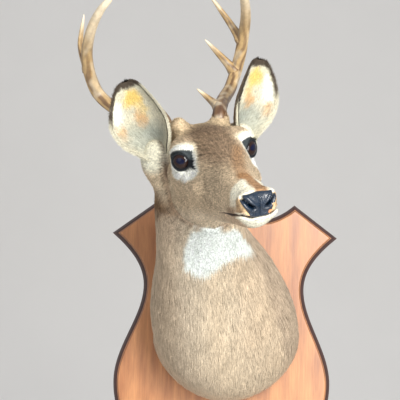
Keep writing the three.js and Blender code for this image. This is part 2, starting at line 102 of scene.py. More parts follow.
def ripple(points, wavelength, seed, waves=9):
    """A smooth random value from about -1 to 1 at each point."""
    draw = np.random.default_rng(seed)
    total = np.zeros(len(points))
    for _ in range(waves):
        way = unit(draw.normal(size=3)) * 2 * math.pi / (wavelength * draw.uniform(0.6, 1.7))
        total += np.sin(points @ way + draw.uniform(0, 2 * math.pi))
    return total / math.sqrt(waves / 2) / 1.5


def line_distance(points, line):
    """Distance of each point from a broken line, and how far along it the nearest place is, from 0 to 1."""
    line = np.array(line, float)
    steps = np.linalg.norm(np.diff(line, axis=0), axis=1)
    best, share = np.full(len(points), 1e9), np.zeros(len(points))
    for i, step in enumerate(steps):
        run = line[i + 1] - line[i]
        t = np.clip((points - line[i]) @ run / step**2, 0, 1)
        away = np.linalg.norm(points - line[i] - t[:, None] * run, axis=1)
        nearer = away < best
        best[nearer] = away[nearer]
        share[nearer] = ((steps[:i].sum() + t * step) / steps.sum())[nearer]
    return best, share


HEAD_AXES = turned("Z", HEAD_TURN) @ turned("X", HEAD_NOD) @ turned("Y", -HEAD_TILT)
HEAD_LEFT, HEAD_BACK, HEAD_UP = HEAD_AXES.T


def to_head(world):
    return (world - HEAD_CENTRE) @ HEAD_AXES


def to_world(head):
    return HEAD_CENTRE + np.asarray(head, float) @ HEAD_AXES.T


def mirrored(head):
    """The same places with the right side of the head folded onto its left one."""
    return np.column_stack([np.abs(head[:, 0]), head[:, 1:]])


# ---- The outline of the coat, as the CAD has it ----
NECK = {
    "top": curve([[22, 186], [80, 204], [140, 236], [200, 272], [250, 302], [300, 326], [340, 334]]),
    "bottom": curve([[22, -77], [70, -78], [120, -60], [165, -22], [205, 32], [245, 100], [285, 172], [330, 215]]),
    "centre": curve([[22, 6], [60, 4], [100, -3], [120, -12], [150, -24], [200, -38], [240, -43], [330, -58]]),
    "width": curve([[22, 127], [60, 123], [100, 114], [120, 109], [150, 98], [200, 76], [240, 70], [290, 64], [330, 54]]),
    "level": curve([[22, 28], [90, 45], [170, 105], [240, 190], [330, 272]]),
    "squareness": 1.9,
}
HEAD = {
    "top": curve([[-190, 33], [-165, 43], [-120, 54], [-80, 65], [-45, 79], [-10, 91], [30, 93], [65, 89], [95, 76], [125, 50]]),
    "bottom": curve([[-190, -4], [-172, -12], [-155, -17], [-110, -23], [-50, -33], [0, -40], [45, -46], [75, -42], [125, -10]]),
    "width": curve([[-190, 20], [-172, 25], [-140, 28.5], [-100, 33], [-65, 39], [-30, 46], [10, 50], [60, 50], [125, 42]]),
    "level": curve([[-190, 16], [-140, 10], [-80, 16], [-20, 38], [30, 42], [125, 32]]),
    "squareness": 2.2,
}


def blended(a, b, reach):
    h = np.maximum(reach - np.abs(a - b), 0) / reach
    return np.minimum(a, b) - h * h * reach * 0.25


def blended_cut(a, b, reach):
    return -blended(-a, -b, reach)


def lofted(shape, station, side, height):
    level = shape["level"](station)
    rise = np.where(height > level, shape["top"](station) - level, level - shape["bottom"](station))
    width, n = shape["width"](station), shape["squareness"]
    reach = ((side / width) ** n + (np.abs(height - level) / rise) ** n) ** (1 / n)
    return (reach - 1) * np.minimum(width, rise)


def ellipsoid(p, centre, radii):
    u = (p - np.array(centre, float)) / radii
    reach = np.linalg.norm(u, axis=1)
    slope = np.linalg.norm(u / radii, axis=1)
    return reach * (reach - 1) / np.maximum(slope, 1e-9)


def capsule(p, start, end, start_radius, end_radius):
    start, end = np.array(start, float), np.array(end, float)
    run = end - start
    t = np.clip((p - start) @ run / (run @ run), 0, 1)
    away = np.linalg.norm(p - start - t[:, None] * run, axis=1)
    return away - start_radius - t * (end_radius - start_radius)


def head_field(head):
    p = mirrored(head)
    x, y, z = p.T
    f = lofted(HEAD, y, x, z)
    f = blended_cut(f, NOSE_FRONT - y - 0.25 * (z - 20), 18)
    f = blended_cut(f, y - HEAD_REACH, 40)
    f = blended(f, ellipsoid(p, (40, 2, 60), (21, 31, 27)), 14)
    f = blended(f, capsule(p, (39, -50, 22), (49, 26, 31), 9, 13), 18)
    f = blended(f, ellipsoid(p, (28, 32, -8), (21, 36, 34)), 18)
    f = blended(f, ellipsoid(p, (60, 74, 46), (29, 24, 34)), 18)
    f = blended(f, capsule(p, (27, 46, 80), PEDICLE, 17, 13.5), 12)
    f = blended(f, ellipsoid(p, (13, -176, 25), (12, 13, 13)), 8)
    f = blended(f, ellipsoid(p, (15, -158, 8), (13, 26, 10)), 8)
    return blended_cut(f, -ellipsoid(p, (53, -38, 51), (7, 17, 10)), 10)


def neck_field(world):
    x, y, z = world.T
    f = lofted(NECK, -y, np.abs(x - NECK["centre"](-y)), z)
    return blended_cut(f, -y - NECK_REACH, 40)


def coat_field(world):
    return blended(head_field(to_head(world)), neck_field(world), COAT_BLEND)


def field_slope(world):
    step = 0.3
    moves = np.eye(3) * step
    return np.column_stack([coat_field(world + m) - coat_field(world - m) for m in moves]) / (2 * step)


def past_nape(head):
    """How far a place is behind the plane between head and neck."""
    return (head[:, 1] - NAPE_CUT) * math.cos(NAPE_LEAN) - head[:, 2] * math.sin(NAPE_LEAN)


# ---- Landmarks of the head, on its left side ----
NOSTRIL = [(20.5, -182, 32), (17, -187, 27.5), (13, -189, 22.5), (8.5, -189, 19)]
MOUTH = [(0, -185, 3.6), (8, -185.5, 4.6), (12, -185, 5.8), (17, -184.5, 8.3), (21.5, -182, 10.2), (26, -172, 9.5),
         (29.3, -156, 6.6), (29.4, -123, 1.3), (31, -100, -2.7)]
PAD_WIDTH = curve([[3, 9], [6, 12], [12, 14.5], [18, 18], [27, 22], [31, 22.5], [35, 18], [38, 8]])
PAD_TOP, PAD_BOTTOM, PAD_BACK = 36.5, 5, -173
EYE_AHEAD = np.array([math.cos(EYE_FACING), -math.sin(EYE_FACING), 0])
EYE_SLANT = math.radians(14)
EYE_INWARD = np.array([-math.sin(EYE_FACING), -math.cos(EYE_FACING), 0])
EYE_LONG = EYE_INWARD * math.cos(EYE_SLANT) - np.array([0, 0, math.sin(EYE_SLANT)])
EYE_SHORT = EYE_INWARD * math.sin(EYE_SLANT) + np.array([0, 0, math.cos(EYE_SLANT)])
LID_LONG, LID_SHORT, LID_CORNER = math.radians(46), math.radians(41), math.radians(17)
JAW_CREASE = [(61, 47, 42), (60, 51, 10), (58, 50, -19), (50, 44, -35), (35, 41, -50), (20, 42, -60), (0, 44, -67)]
TEAR_DUCT = [(42, -33, 53), (40, -41, 50.5), (40, -48, 46.5)]
# Loops in side view, as [y, z], round the bare black skin at the eye and round the white hair outside it.
BARE_EYE_LOOP = [(6, 64), (-4, 69.5), (-13, 71.5), (-19, 72), (-25, 71.5), (-31, 68.5), (-37, 64.5), (-41, 58), (-43.5, 52),
                 (-48.5, 46), (-41, 47.5), (-30, 47.5), (-24, 44.5), (-18, 43), (-11, 43), (-3, 46), (4, 52), (8, 59)]
WHITE_EYE_LOOP = [(4, 72), (-7, 78), (-15, 81), (-21, 81), (-28, 78), (-37, 72), (-44, 65.5), (-51, 57.5), (-57.5, 49),
                  (-57.5, 43), (-54, 37.5), (-46, 33), (-30, 31), (-12, 30.5), (1, 31), (7, 38), (10, 48), (11, 58), (9, 66)]


def round_eye(p):
    """Each place seen from the eye: millimetres outside the lids' edge, turn from the inner corner, distance."""
    q = p - EYE_CENTRE
    ahead, along, above = q @ EYE_AHEAD, q @ EYE_LONG, q @ EYE_SHORT
    off = np.arctan2(np.hypot(along, above), ahead)
    turn = np.arctan2(above, along)
    edge = 1 / np.sqrt((np.cos(turn) / LID_LONG) ** 2 + (np.sin(turn) / LID_SHORT) ** 2)
    edge = edge + LID_CORNER * bump_at(turn, 0, 0.36)
    reach = np.linalg.norm(q, axis=1)
    return (off - edge) * EYE_RADIUS + 3 * np.maximum(reach - 30, 0), turn, reach


def loop_inside(spots, loop):
    """Millimetres inside a closed loop drawn in one plane, negative outside it."""
    line = np.array(loop + loop[:1], float)
    best, inside = np.full(len(spots), 1e9), np.zeros(len(spots), bool)
    for a, b in zip(line[:-1], line[1:]):
        run = b - a
        t = np.clip((spots - a) @ run / (run @ run), 0, 1)
        best = np.minimum(best, np.linalg.norm(spots - a - t[:, None] * run, axis=1))
        spans = (a[1] > spots[:, 1]) != (b[1] > spots[:, 1])
        crossing = a[0] + (spots[:, 1] - a[1]) * run[0] / (run[1] if run[1] else 1e-9)
        inside ^= spans & (spots[:, 0] < crossing)
    return np.where(inside, best, -best)


def by_eye(p, loop):
    """Millimetres inside a loop drawn in side view, on the eye's side of the head only."""
    return np.where(p[:, 0] > 20, loop_inside(p[:, 1:], loop), -99.0)


def pad_inside(p):
    """Millimetres inside the bare nose pad's edge, over 0 on the pad."""
    x, y, z = p.T
    return np.minimum.reduce([PAD_WIDTH(z) - x, PAD_TOP - z - 0.004 * x**2, z - PAD_BOTTOM, PAD_BACK - y + 0 * x])


# ---- The skin: rings round a line from the nose to the wall ----
RING_POINTS = 256
COARSE = 1
GUIDE_STATIONS = [0, 50, 100, 160, 205, 277, 380, 488, 554, 594]
GUIDE_POINTS = np.vstack([
    to_world([(0, -160, 17), (0, -110, 17), (0, -60, 21), (0, 0, 27), (0, 42, 20)]),
    [(-46, -270, 228), (-38, -200, 152), (-12, -120, 84), (4, -60, 62), (6, -21.5, 55)],
])
NECK_WAY = np.array([0.1, 0.7, -0.7])


def guide(station):
    """Centre, way back, sideways and up at each station of the line."""
    centre = np.column_stack([curve(list(zip(GUIDE_STATIONS, axis)))(station) for axis in GUIDE_POINTS.T])
    on_neck, at_wall = smooth(130, 330, station)[:, None], smooth(360, 594, station)[:, None]
    back = unit(mix(mix(HEAD_BACK, NECK_WAY, on_neck), np.array([0.0, 1, 0]), at_wall))
    side = mix(HEAD_LEFT, np.array([1.0, 0, 0]), smooth(130, 400, station)[:, None])
    side = unit(side - np.sum(side * back, axis=1, keepdims=True) * back)
    return centre, back, side, np.cross(side, back)


def ring_rays():
    """Start and way of every ray that finds the skin: a fan over the nose, then rings back to the wall."""
    fan = np.radians(np.linspace(2, 90, 48 // COARSE, endpoint=False))
    stations = np.concatenate([
        np.arange(0, 165, 1.12 * COARSE),
        np.arange(165, 230, 1.55 * COARSE),
        np.linspace(230, 594, 122 // COARSE),
    ])
    station = np.concatenate([np.zeros(len(fan)), stations])
    tilt = np.concatenate([fan, np.full(len(stations), math.pi / 2)])
    centre, back, side, up = guide(station)
    t = np.arange(RING_POINTS) * 2 * math.pi / RING_POINTS
    angle = t + 0.15 * np.sin(2 * t)
    round_it = -np.cos(angle)[None, :, None] * up[:, None] + np.sin(angle)[None, :, None] * side[:, None]
    way = np.sin(tilt)[:, None, None] * round_it - np.cos(tilt)[:, None, None] * back[:, None]
    start = np.repeat(centre[:, None], RING_POINTS, axis=1)
    return start.reshape(-1, 3), way.reshape(-1, 3), len(station)


def drawn_on(points):
    for _ in range(2):
        slope = field_slope(points)
        points = points - coat_field(points)[:, None] * slope / np.maximum(np.sum(slope**2, axis=1), 0.05)[:, None]
    return points


def coat_depth(head):
    """How deep the skin lies under the tips of the coat."""
    p = mirrored(head)
    depth = 1.5 + 3.8 * smooth(-40, 45, past_nape(head))
    depth = depth * smooth(-184, -150, p[:, 1]) + 0.2
    return depth * smooth(0, 14, round_eye(p)[0] + 3)


def shape_lids(head):
    """Brings the skin round each eye down to the ball's edge, with a fold over the upper lid."""
    p = mirrored(head)
    out, turn, reach = round_eye(p)
    near = (out < 16) & (np.sum((p - EYE_CENTRE) * EYE_AHEAD, axis=1) > 0)
    d, t, r = out[near], turn[near], reach[near]
    upper = np.clip(np.sin(t), 0, 1)
    corner = bump_at(t, 0, 0.5) * smooth(-9, -1, d)
    lid = EYE_RADIUS - 1.6 + (3.2 + 0.5 * upper) * smooth(-1.0, 1.1, d) + 1.7 * corner * (1 - smooth(-1, 1.1, d))
    rest = np.maximum(r, EYE_RADIUS + 1.3)
    shaped = lid * (1 - smooth(1, 11, d)) + rest * smooth(1, 11, d)
    shaped -= 1.1 * upper * bump_at(d, 5.2, 1.2)
    shaped += 0.5 * bump_at(d, 2.0, 1.3)
    q = (p[near] - EYE_CENTRE) * (shaped / r)[:, None]
    moved = EYE_CENTRE + q
    moved[:, 0] *= np.where(head[near, 0] < 0, -1, 1)
    head = head.copy()
    head[near] = moved
    return head


def carve(head, outward):
    """Cuts the nostrils, mouth, tear ducts and the groove of the nose, along the way in."""
    p = mirrored(head)
    nostril, _ = line_distance(p, NOSTRIL)
    mouth, along_mouth = line_distance(p, MOUTH)
    duct, _ = line_distance(p, TEAR_DUCT)
    out = -8.0 * bump_at(nostril, 0, 1.8) + 1.0 * bump_at(nostril, 4.4, 1.8)
    out += -(4.2 - 2.6 * along_mouth) * bump_at(mouth, 0, 1.5) + 0.7 * bump_at(mouth, 3.8, 1.8)
    out += -2.0 * bump_at(duct, 0, 2.0)
    on_pad = smooth(-1, 2, pad_inside(p))
    out += -1.0 * bump_at(p[:, 0], 0, 0.9) * on_pad * smooth(31, 26, p[:, 2])
    out += 0.5 * on_pad
    crease, _ = line_distance(p, JAW_CREASE)
    out += -1.8 * bump_at(crease, 0, 3.5)
    return head + outward * out[:, None]


def ring_faces(rings, count):
    """Quads between closed rings, and the fan that closes the first one on a last vertex."""
    i, j = np.meshgrid(np.arange(rings - 1), np.arange(count), indexing="ij")
    i, j = i.ravel(), j.ravel()
    k = (j + 1) % count
    quads = np.column_stack([i * count + j, i * count + k, (i + 1) * count + k, (i + 1) * count + j])
    places = np.stack([np.column_stack([j, j + 1, j + 1, j]), np.column_stack([i, i, i + 1, i + 1])], axis=-1)
    return quads, places


def mesh_normals(points, quads):
    a, b, c, d = (points[quads[:, k]] for k in range(4))
    face = np.cross(c - a, d - b)
    total = np.zeros_like(points)
    for k in range(4):
        np.add.at(total, quads[:, k], face)
    return unit(total)


def make_skin():
    """Points, quads, unwrap places at each quad's corners, outward normals, and each point's place on the coat's outline."""
    start, way, rings = ring_rays()
    reach = np.full(len(start), 6.0)
    for _ in range(22):
        value = coat_field(start + way * reach[:, None])
        reach = np.clip(reach - 0.85 * value, 2, 330)
    points = drawn_on(start + way * reach[:, None])
    outline = points.copy()
    last = slice((rings - 1) * RING_POINTS, rings * RING_POINTS)
    outward = unit(field_slope(points))
    head = to_head(points)
    depth = coat_depth(head)
    head = head - (outward @ HEAD_AXES) * depth[:, None]
    quads, places = (array[:, ::-1] for array in ring_faces(rings, RING_POINTS))
    head = shape_lids(head)
    outline = to_world(shape_lids(to_head(outline)))
    normals = mesh_normals(head, quads)
    head = carve(head, normals)
    points = to_world(head)
    points[last, 1] = -BOARD_THICKNESS + 0.6
    points[:, 1] = np.minimum(points[:, 1], -BOARD_THICKNESS + 0.6)
    normals = mesh_normals(points, quads)
    share = np.array([1 / RING_POINTS, 0.78 / (rings - 1)])
    return points, quads, places * share, normals, outline


# ---- Colours ----
def linear(rgb):
    c = np.array(rgb, float) / 255
    return np.where(c < 0.04045, c / 12.92, ((c + 0.055) / 1.055) ** 2.4)


FACE, CROWN, BRIDGE = linear((200, 178, 148)), linear((206, 182, 146)), linear((126, 103, 81))
RUSSET, CREAM, CHEEK = linear((156, 117, 80)), linear((234, 228, 206)), linear((208, 190, 166))
NECK_PALE, NECK_WARM, NECK_DARK_AND_SHADE = linear((173, 162, 141)), linear((188, 162, 128)), linear((124, 97, 73))
BIB, BLACK_SKIN, RIM_GREY = linear((232, 238, 230)), linear((18, 21, 27)), linear((92, 90, 88))
EYE_SKIN, NECK_EDGE_AND_SHADE = linear((52, 58, 60)), linear((114, 84, 58))
NECK_PAINTED_LIGHT = linear((202, 182, 150))
PAINTED_CREASE_SHADE, EAR_EDGE, EAR_CREAM = linear((112, 82, 58)), linear((58, 44, 34)), linear((212, 206, 182))
EAR_YELLOW, EAR_ORANGE, EAR_BACK = linear((232, 198, 112)), linear((214, 164, 104)), linear((128, 104, 82))


def blob(p, centre, radii, soft=0.5):
    """1 inside an ellipsoid, 0 outside, over a soft edge."""
    reach = np.linalg.norm((p - np.array(centre, float)) / radii, axis=1)
    return 1 - smooth(1 - soft / 2, 1 + soft / 2, reach)


def along(points, line, width, soft=0.8):
    return 1 - smooth(width * (1 - soft / 2), width * (1 + soft / 2), line_distance(points, line)[0])


# The white patch on the throat, as a loop of [x, z] in the body's frame.
BIB_LOOP = [(-54, 189), (-14, 192), (26, 192), (37, 186), (38, 176), (32, 168), (22, 162), (7, 154), (-8, 145),
            (-22, 135), (-34, 129), (-47, 127), (-58, 132), (-66, 143), (-68, 158), (-62, 176)]


def neck_colour(world):
    """Pale down the front, warm on the sides and darker up the back of the neck; painted light down the right front,
    painted shade down the left, and a dark right edge that is partly coat and partly painted shade.
    """
    x, y, z = world.T
    rise = (z - NECK["level"](-y)) / (NECK["top"](-y) - NECK["level"](-y))
    aside = (x - NECK["centre"](-y)) / NECK["width"](-y)
    colour = mix(NECK_PALE, NECK_WARM, smooth(0.3, 1.0, np.abs(aside) + 0.1 * ripple(world, 90, 3)))
    colour = mix(colour, NECK_WARM, 0.4 * smooth(60, -80, z))
    # Painted light: a lighter band down the right front of the neck, on the side the light falls on.
    colour = mix(colour, NECK_PAINTED_LIGHT, bump_at(aside, 0.4, 0.35))
    colour = mix(colour, NECK_DARK_AND_SHADE, 0.9 * smooth(-0.05, 0.5, rise + 0.06 * ripple(world, 60, 5)))
    # Painted shade: the left side of the neck darker, away from the light.
    colour = mix(colour, NECK_DARK_AND_SHADE, 0.65 * smooth(-0.1, 1.0, -aside))
    # A dark band along the right edge of the neck: partly the darker coat of its side, partly painted shade where the
    # neck turns away.
    past_edge = x - np.interp(z, [-20, 0, 34, 73, 109, 141, 166, 187], [116, 107, 93, 80, 67, 56, 43, 33])
    colour = mix(colour, NECK_EDGE_AND_SHADE, 0.9 * smooth(-8, 9, past_edge + 4 * ripple(world, 40, 7)) * smooth(-30, 20, z))
    # Painted shade: a dark patch high on the left of the neck, below the ear.
    return mix(colour, NECK_EDGE_AND_SHADE, 0.7 * blob(world, (-100, -296, 212), (26, 46, 44), 0.9))


def markings(world):
    """The colour of skin and coat at each place."""
    head = to_head(world)
    p = mirrored(head)
    x, y, z = p.T
    wander = ripple(world, 22, 21)
    lateral = head + np.column_stack([wander, wander, wander]) * 1.2
    c = mix(FACE, neck_colour(world), smooth(-30, 26, past_nape(head) + smooth(20, -45, z) * 46))
    c = mix(c, CROWN, 0.8 * blob(p, (18, 48, 92), (52, 50, 30)))
    c = mix(c, BRIDGE, 0.85 * blob(lateral, (-6, -42, 82), (32, 78, 32), 0.8))
    c = mix(c, BRIDGE, 0.45 * blob(p, (0, -4, 96), (24, 34, 20), 0.9))
    c = mix(c, CHEEK, 0.6 * smooth(4, -26, z + 0.16 * (y + 60) + 3 * wander) * smooth(-160, -120, y))
    c = mix(c, RUSSET, 0.7 * along(lateral, [(22, -58, 68), (12, -84, 61), (1, -121, 53), (0, -146, 49)], 9, 1.4))
    ear_foot = np.maximum(blob(p, (68, 62, 54), (26, 22, 24), 0.6), 0.12 * blob(p, (62, 62, 14), (16, 24, 30), 0.9))
    c = mix(c, linear((228, 224, 202)), ear_foot * (x > 44))
    edge = -142 - 0.2 * np.abs(z - 36)
    front = smooth(edge, edge - 5, y + 0.9 * wander) * smooth(-2, 2, z - 16.5 + 0.2 * (y + 150))
    front = np.maximum(front, smooth(-142, -148, y) * smooth(40, 44, z) * smooth(-14, -9, -x))
    c = mix(c, CREAM, front * (1 - 0.5 * smooth(32, 20, z) * smooth(8, 16, x)))
    c = mix(c, linear((176, 146, 112)), smooth(-170, -177, y) * smooth(18, 21, x) * smooth(34, 30, z) * smooth(9, 13, z))
    stripe = [(-1, -136, 50), (4, -150, 48), (6, -160, 44), (7, -172, 40), (7, -182, 36)]
    c = mix(c, RUSSET, along(lateral, stripe, 8) * 0.95)
    c = mix(c, linear((142, 116, 92)), 0.8 * blob(p, (27, -160, 9), (12, 26, 6.5), 0.7))
    mouth, mouth_run = line_distance(p, MOUTH)
    below = smooth(2.5, -1.5, z - np.interp(y, [-186, -182, -172, -156, -123, -100, -60], [4.6, 10, 9.5, 6.6, 1.3, -2.7, -13]))
    c = mix(c, linear((196, 170, 142)), 0.8 * below * smooth(-96, -130, y))
    c = mix(c, CREAM, below * smooth(-161, -168, y + 0.5 * x))
    c = mix(c, linear((218, 200, 174)), 0.7 * smooth(-12, -30, z) * smooth(-150, -130, y) * smooth(30, -10, y))
    c = mix(c, CREAM, 0.9 * bump_at(mouth, 3.2, 1.1) * smooth(-168, -175, y))
    # Painted shade: a dark line in the crease behind the cheek and under the jaw.
    c = mix(c, PAINTED_CREASE_SHADE, 0.6 * along(p, JAW_CREASE, 4.5, 1.3))
    # Painted shadow: a dark line in the gap between the foot of the ear and the temple.
    c = mix(c, linear((74, 50, 36)), 0.9 * along(p, [(55, 58, 80), (58, 46, 64), (61, 42, 44), (62, 43, 26)], 5.4, 1.5))
    bib = loop_inside(world[:, [0, 2]] + 2.5 * wander[:, None], BIB_LOOP)
    c = mix(c, BIB, smooth(-5, 4, bib) * smooth(-166, -184, world[:, 1]) * smooth(-352, -340, world[:, 1]))
    white, bare = by_eye(p, WHITE_EYE_LOOP), by_eye(p, BARE_EYE_LOOP)
    white_hair = mix(linear((236, 222, 194)), linear((248, 248, 236)), smooth(0.5, 4, white))
    c = mix(c, white_hair, smooth(-1.6, 1.4, white + 0.8 * wander))
    c = mix(c, RIM_GREY, smooth(-0.9, 0, bare))
    c = mix(c, EYE_SKIN, smooth(-0.4, 0.8, bare))
    c = mix(c, BLACK_SKIN, smooth(0.4, 0.8, bare) * (1 - smooth(0.4, 1.6, round_eye(p)[0])))
    c = mix(c, BLACK_SKIN, along(p, TEAR_DUCT, 1.6, 0.8))
    pad = pad_inside(p)
    c = mix(c, linear((206, 176, 134)), smooth(-4.6, -2.4, pad) * smooth(31, 27, z) * smooth(7, 10, z))
    c = mix(c, BLACK_SKIN, smooth(-0.8, 0.2, pad))
    c = mix(c, linear((48, 34, 30)), 1 - smooth(1.4, 2.3, mouth + 1.6 * smooth(0.5, 1, mouth_run)))
    shade = 1 + 0.05 * ripple(world, 14, 31) + 0.04 * ripple(world, 45, 33)
    return np.clip(c * shade[:, None], 0.004, 0.95)


# ---- Meshes in Blender ----
def set_attribute(mesh, name, kind, domain, field, values):
    mesh.attributes.new(name, kind, domain).data.foreach_set(field, np.ascontiguousarray(values, np.float32).ravel())


def add_mesh(name, points, faces, colours=None, places=None, normals=None, smooth_it=True):
    """A mesh piece from points in millimetres; faces is one array of triangles or quads, or a list of both."""
    arrays = [np.asarray(f, np.int32) for f in (faces if isinstance(faces, list) else [faces])]
    sizes = np.concatenate([np.full(len(f), f.shape[1], np.int32) for f in arrays])
    corners = np.concatenate([f.ravel() for f in arrays])
    mesh = bpy.data.meshes.new(name)
    mesh.vertices.add(len(points))
    mesh.vertices.foreach_set("co", np.ascontiguousarray(points * MM, np.float32).ravel())
    mesh.loops.add(len(corners))
    mesh.loops.foreach_set("vertex_index", corners)
    mesh.polygons.add(len(sizes))
    mesh.polygons.foreach_set("loop_start", np.concatenate([[0], np.cumsum(sizes)[:-1]]).astype(np.int32))
    mesh.polygons.foreach_set("use_smooth", np.full(len(sizes), smooth_it))
    if colours is not None:
        rgba = np.column_stack([colours, np.ones(len(colours))])
        set_attribute(mesh, "markings", "FLOAT_COLOR", "POINT", "color", rgba)
    if places is not None:
        layer = mesh.uv_layers.new(name="OFBake")
        layer.data.foreach_set("uv", np.ascontiguousarray(places, np.float32).ravel())
    mesh.update(calc_edges=True)
    mesh.validate(clean_customdata=False)
    if normals is not None:
        mesh.normals_split_custom_set_from_vertices(normals.tolist())
    ob = bpy.data.objects.new(name, mesh)
    bpy.context.scene.collection.objects.link(ob)
    return ob


def dress(ob, material, slot, *nodes):
    """Gives a piece its material and its place on the body, and hides the CAD nodes it stands for; its slot is not
    used.
    """
    ob.data.materials.append(material)
    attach(ob, "root")
    if nodes:
        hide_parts(*nodes)
    return ob


# ---- Tufts ----
def lie_of_coat(world, normal):
    """The way the coat lies: back over the face, down the neck, and round the eyes."""
    head = to_head(world)
    p = mirrored(head)
    sign = np.where(head[:, 0] < 0, -1, 1)
    back = np.column_stack([
        0.25 * np.tanh(head[:, 0] / 16),
        np.full(len(p), 1.0),
        -0.25 - 0.45 * smooth(40, -10, p[:, 2]) * smooth(-120, -60, p[:, 1]),
    ]) @ HEAD_AXES.T
    down = np.array([0.05, 0.5, -0.86])
    on_neck = smooth(-30, 45, past_nape(head) + smooth(10, -40, p[:, 2]) * 30)[:, None]
    way = mix(unit(back), down, on_neck)
    out, turn, _ = round_eye(p)
    away = unit(p - EYE_CENTRE)
    away[:, 0] *= sign
    near = (0.6 * (1 - smooth(0, 14, out)))[:, None] * (p[:, 1:2] < 20)
    way = mix(way, away @ HEAD_AXES.T, near)
    way = way + 0.09 * np.column_stack([ripple(world, 34, s) for s in (41, 42, 43)])
    return unit(way - np.sum(way * normal, axis=1, keepdims=True) * normal)


def scattered(skin, count, weight):
    """Random roots over the skin's quads, more of them where weight is high: point, normal, unwrap place, outline place."""
    points, quads, places, normals, outline = skin
    a, b, c, d = (points[quads[:, k]] for k in range(4))
    area = 0.5 * np.linalg.norm(np.cross(c - a, d - b), axis=1)
    chance = area * weight((outline[quads[:, 0]] + outline[quads[:, 2]]) / 2)
    pick = rng.choice(len(quads), size=count, p=chance / chance.sum())
    s, t = rng.random((2, count, 1))
    shares = [(1 - s) * (1 - t), s * (1 - t), s * t, (1 - s) * t]
    root = sum(points[quads[pick, k]] * shares[k] for k in range(4))
    above = sum(outline[quads[pick, k]] * shares[k] for k in range(4))
    normal = unit(sum(normals[quads[pick, k]] * shares[k] for k in range(4)))
    place = sum(places[pick, k] * shares[k] for k in range(4))
    return root, normal, place, above


TUFT_PATCH = 0.003


def tuft_mesh(name, root, normal, lie, length, width, lift, colour, place, joints=1):
    """Closed thin spikes. With one joint a tuft is straight; with two it rises and then lies down."""
    count = len(root)
    across = unit(np.cross(normal, lie))
    length, width, lift = (np.broadcast_to(v, (count,))[:, None] for v in (length, width, lift))
    rise = lie * np.cos(lift) + normal * np.sin(lift)
    base = root - 0.35 * normal
    rows = [(base, 1.0)]
    if joints == 2:
        rows.append((base + rise * length * 0.45, 0.8))
        tip = base + rise * length * 0.45 + (lie * np.cos(lift * 0.25) + normal * np.sin(lift * 0.25)) * length * 0.55
    else:
        tip = base + rise * length
    points, normals = [], []
    for centre, share in rows:
        half, ridge = across * width * 0.5 * share, normal * width * 0.42 * share
        points += [centre - half, centre + half, centre + ridge]
        normals += [normal - 0.7 * across, normal + 0.7 * across, normal + 0.15 * lie]
    points.append(tip)
    normals.append(normal + 0.3 * lie)
    last = 3 * (len(rows) - 1)
    pattern = [(0, 1, 2)]
    for k in range(0, last, 3):
        for u, v in ((0, 1), (1, 2), (2, 0)):
            pattern += [(k + u, k + 3 + u, k + 3 + v), (k + u, k + 3 + v, k + v)]
    pattern += [(last + u, last + 3, last + v) for u, v in ((0, 1), (1, 2), (2, 0))]
    pattern = [face[::-1] for face in pattern]
    per = last + 4
    stacked = np.stack(points, axis=1).reshape(-1, 3)
    normals = unit(np.stack(normals, axis=1)).reshape(-1, 3)
    faces = (np.array(pattern)[None] + (np.arange(count) * per)[:, None, None]).reshape(-1, 3)
    grades = np.array([0.70] * 3 + ([0.95] * 3 if joints == 2 else []) + [1.14])
    colours = np.clip(colour[:, None] * grades[None, :, None], 0, 1).reshape(-1, 3)
    spots = np.array([(0, 0), (1, 0), (0.5, 0.3)] + ([(0.1, 0.5), (0.9, 0.5), (0.5, 0.7)] if joints == 2 else []) + [(0.5, 1)])
    uv = (place[:, None] + (spots[None] - 0.5) * TUFT_PATCH).reshape(-1, 2)
    return add_mesh(name, stacked, faces, colours, uv[faces.ravel()], normals)


# ---- Ears ----
EAR_WIDTH = curve([[0, 13], [0.12, 21], [0.3, 34], [0.5, 39.5], [0.7, 33.5], [0.86, 24], [0.95, 16.5], [0.985, 11.5], [1, 6.5]])
EAR_CUP = curve([[0, 24], [0.25, 25], [0.5, 20], [0.8, 11], [1, 2]])
EAR_ALONG = unit(EAR_TIP - EAR_ROOT)
EAR_ACROSS = unit(np.array([1.0, 0, 0]) - EAR_ALONG[0] * EAR_ALONG)
EAR_ACROSS = np.array(Matrix.Rotation(EAR_FACING, 3, EAR_ALONG.tolist())) @ EAR_ACROSS
EAR_FORWARD = np.cross(EAR_ACROSS, EAR_ALONG)
EAR_SKIN = 1.1


def ear_middle(u, v):
    swing = v * math.pi / 2
    lateral = EAR_WIDTH(u) * np.sin(swing) + 5 * np.sin(math.pi * u)
    forward = EAR_CUP(u) * (1 - np.cos(swing))
    start = EAR_TIP - EAR_ALONG * EAR_LENGTH
    return start + np.multiply.outer(u * EAR_LENGTH, EAR_ALONG) + np.multiply.outer(lateral, EAR_ACROSS) + np.multiply.outer(forward, EAR_FORWARD)


def ear_frame(side, u, v):
    """World point on the ear's middle sheet, the way its hollow faces, and the ways to its tip and outer edge."""
    low, high = np.clip(u - 0.02, 0, 1), np.clip(u + 0.02, 0, 1)
    run = unit(ear_middle(high, v) - ear_middle(low, v))
    turn = unit(ear_middle(u, np.clip(v + 0.04, -1, 1)) - ear_middle(u, np.clip(v - 0.04, -1, 1)))
    flip = np.array([side, 1, 1])
    frame_ways = [unit(np.cross(turn, run)), run, turn]
    return to_world(ear_middle(u, v) * flip), *[(w * flip) @ HEAD_AXES.T for w in frame_ways]


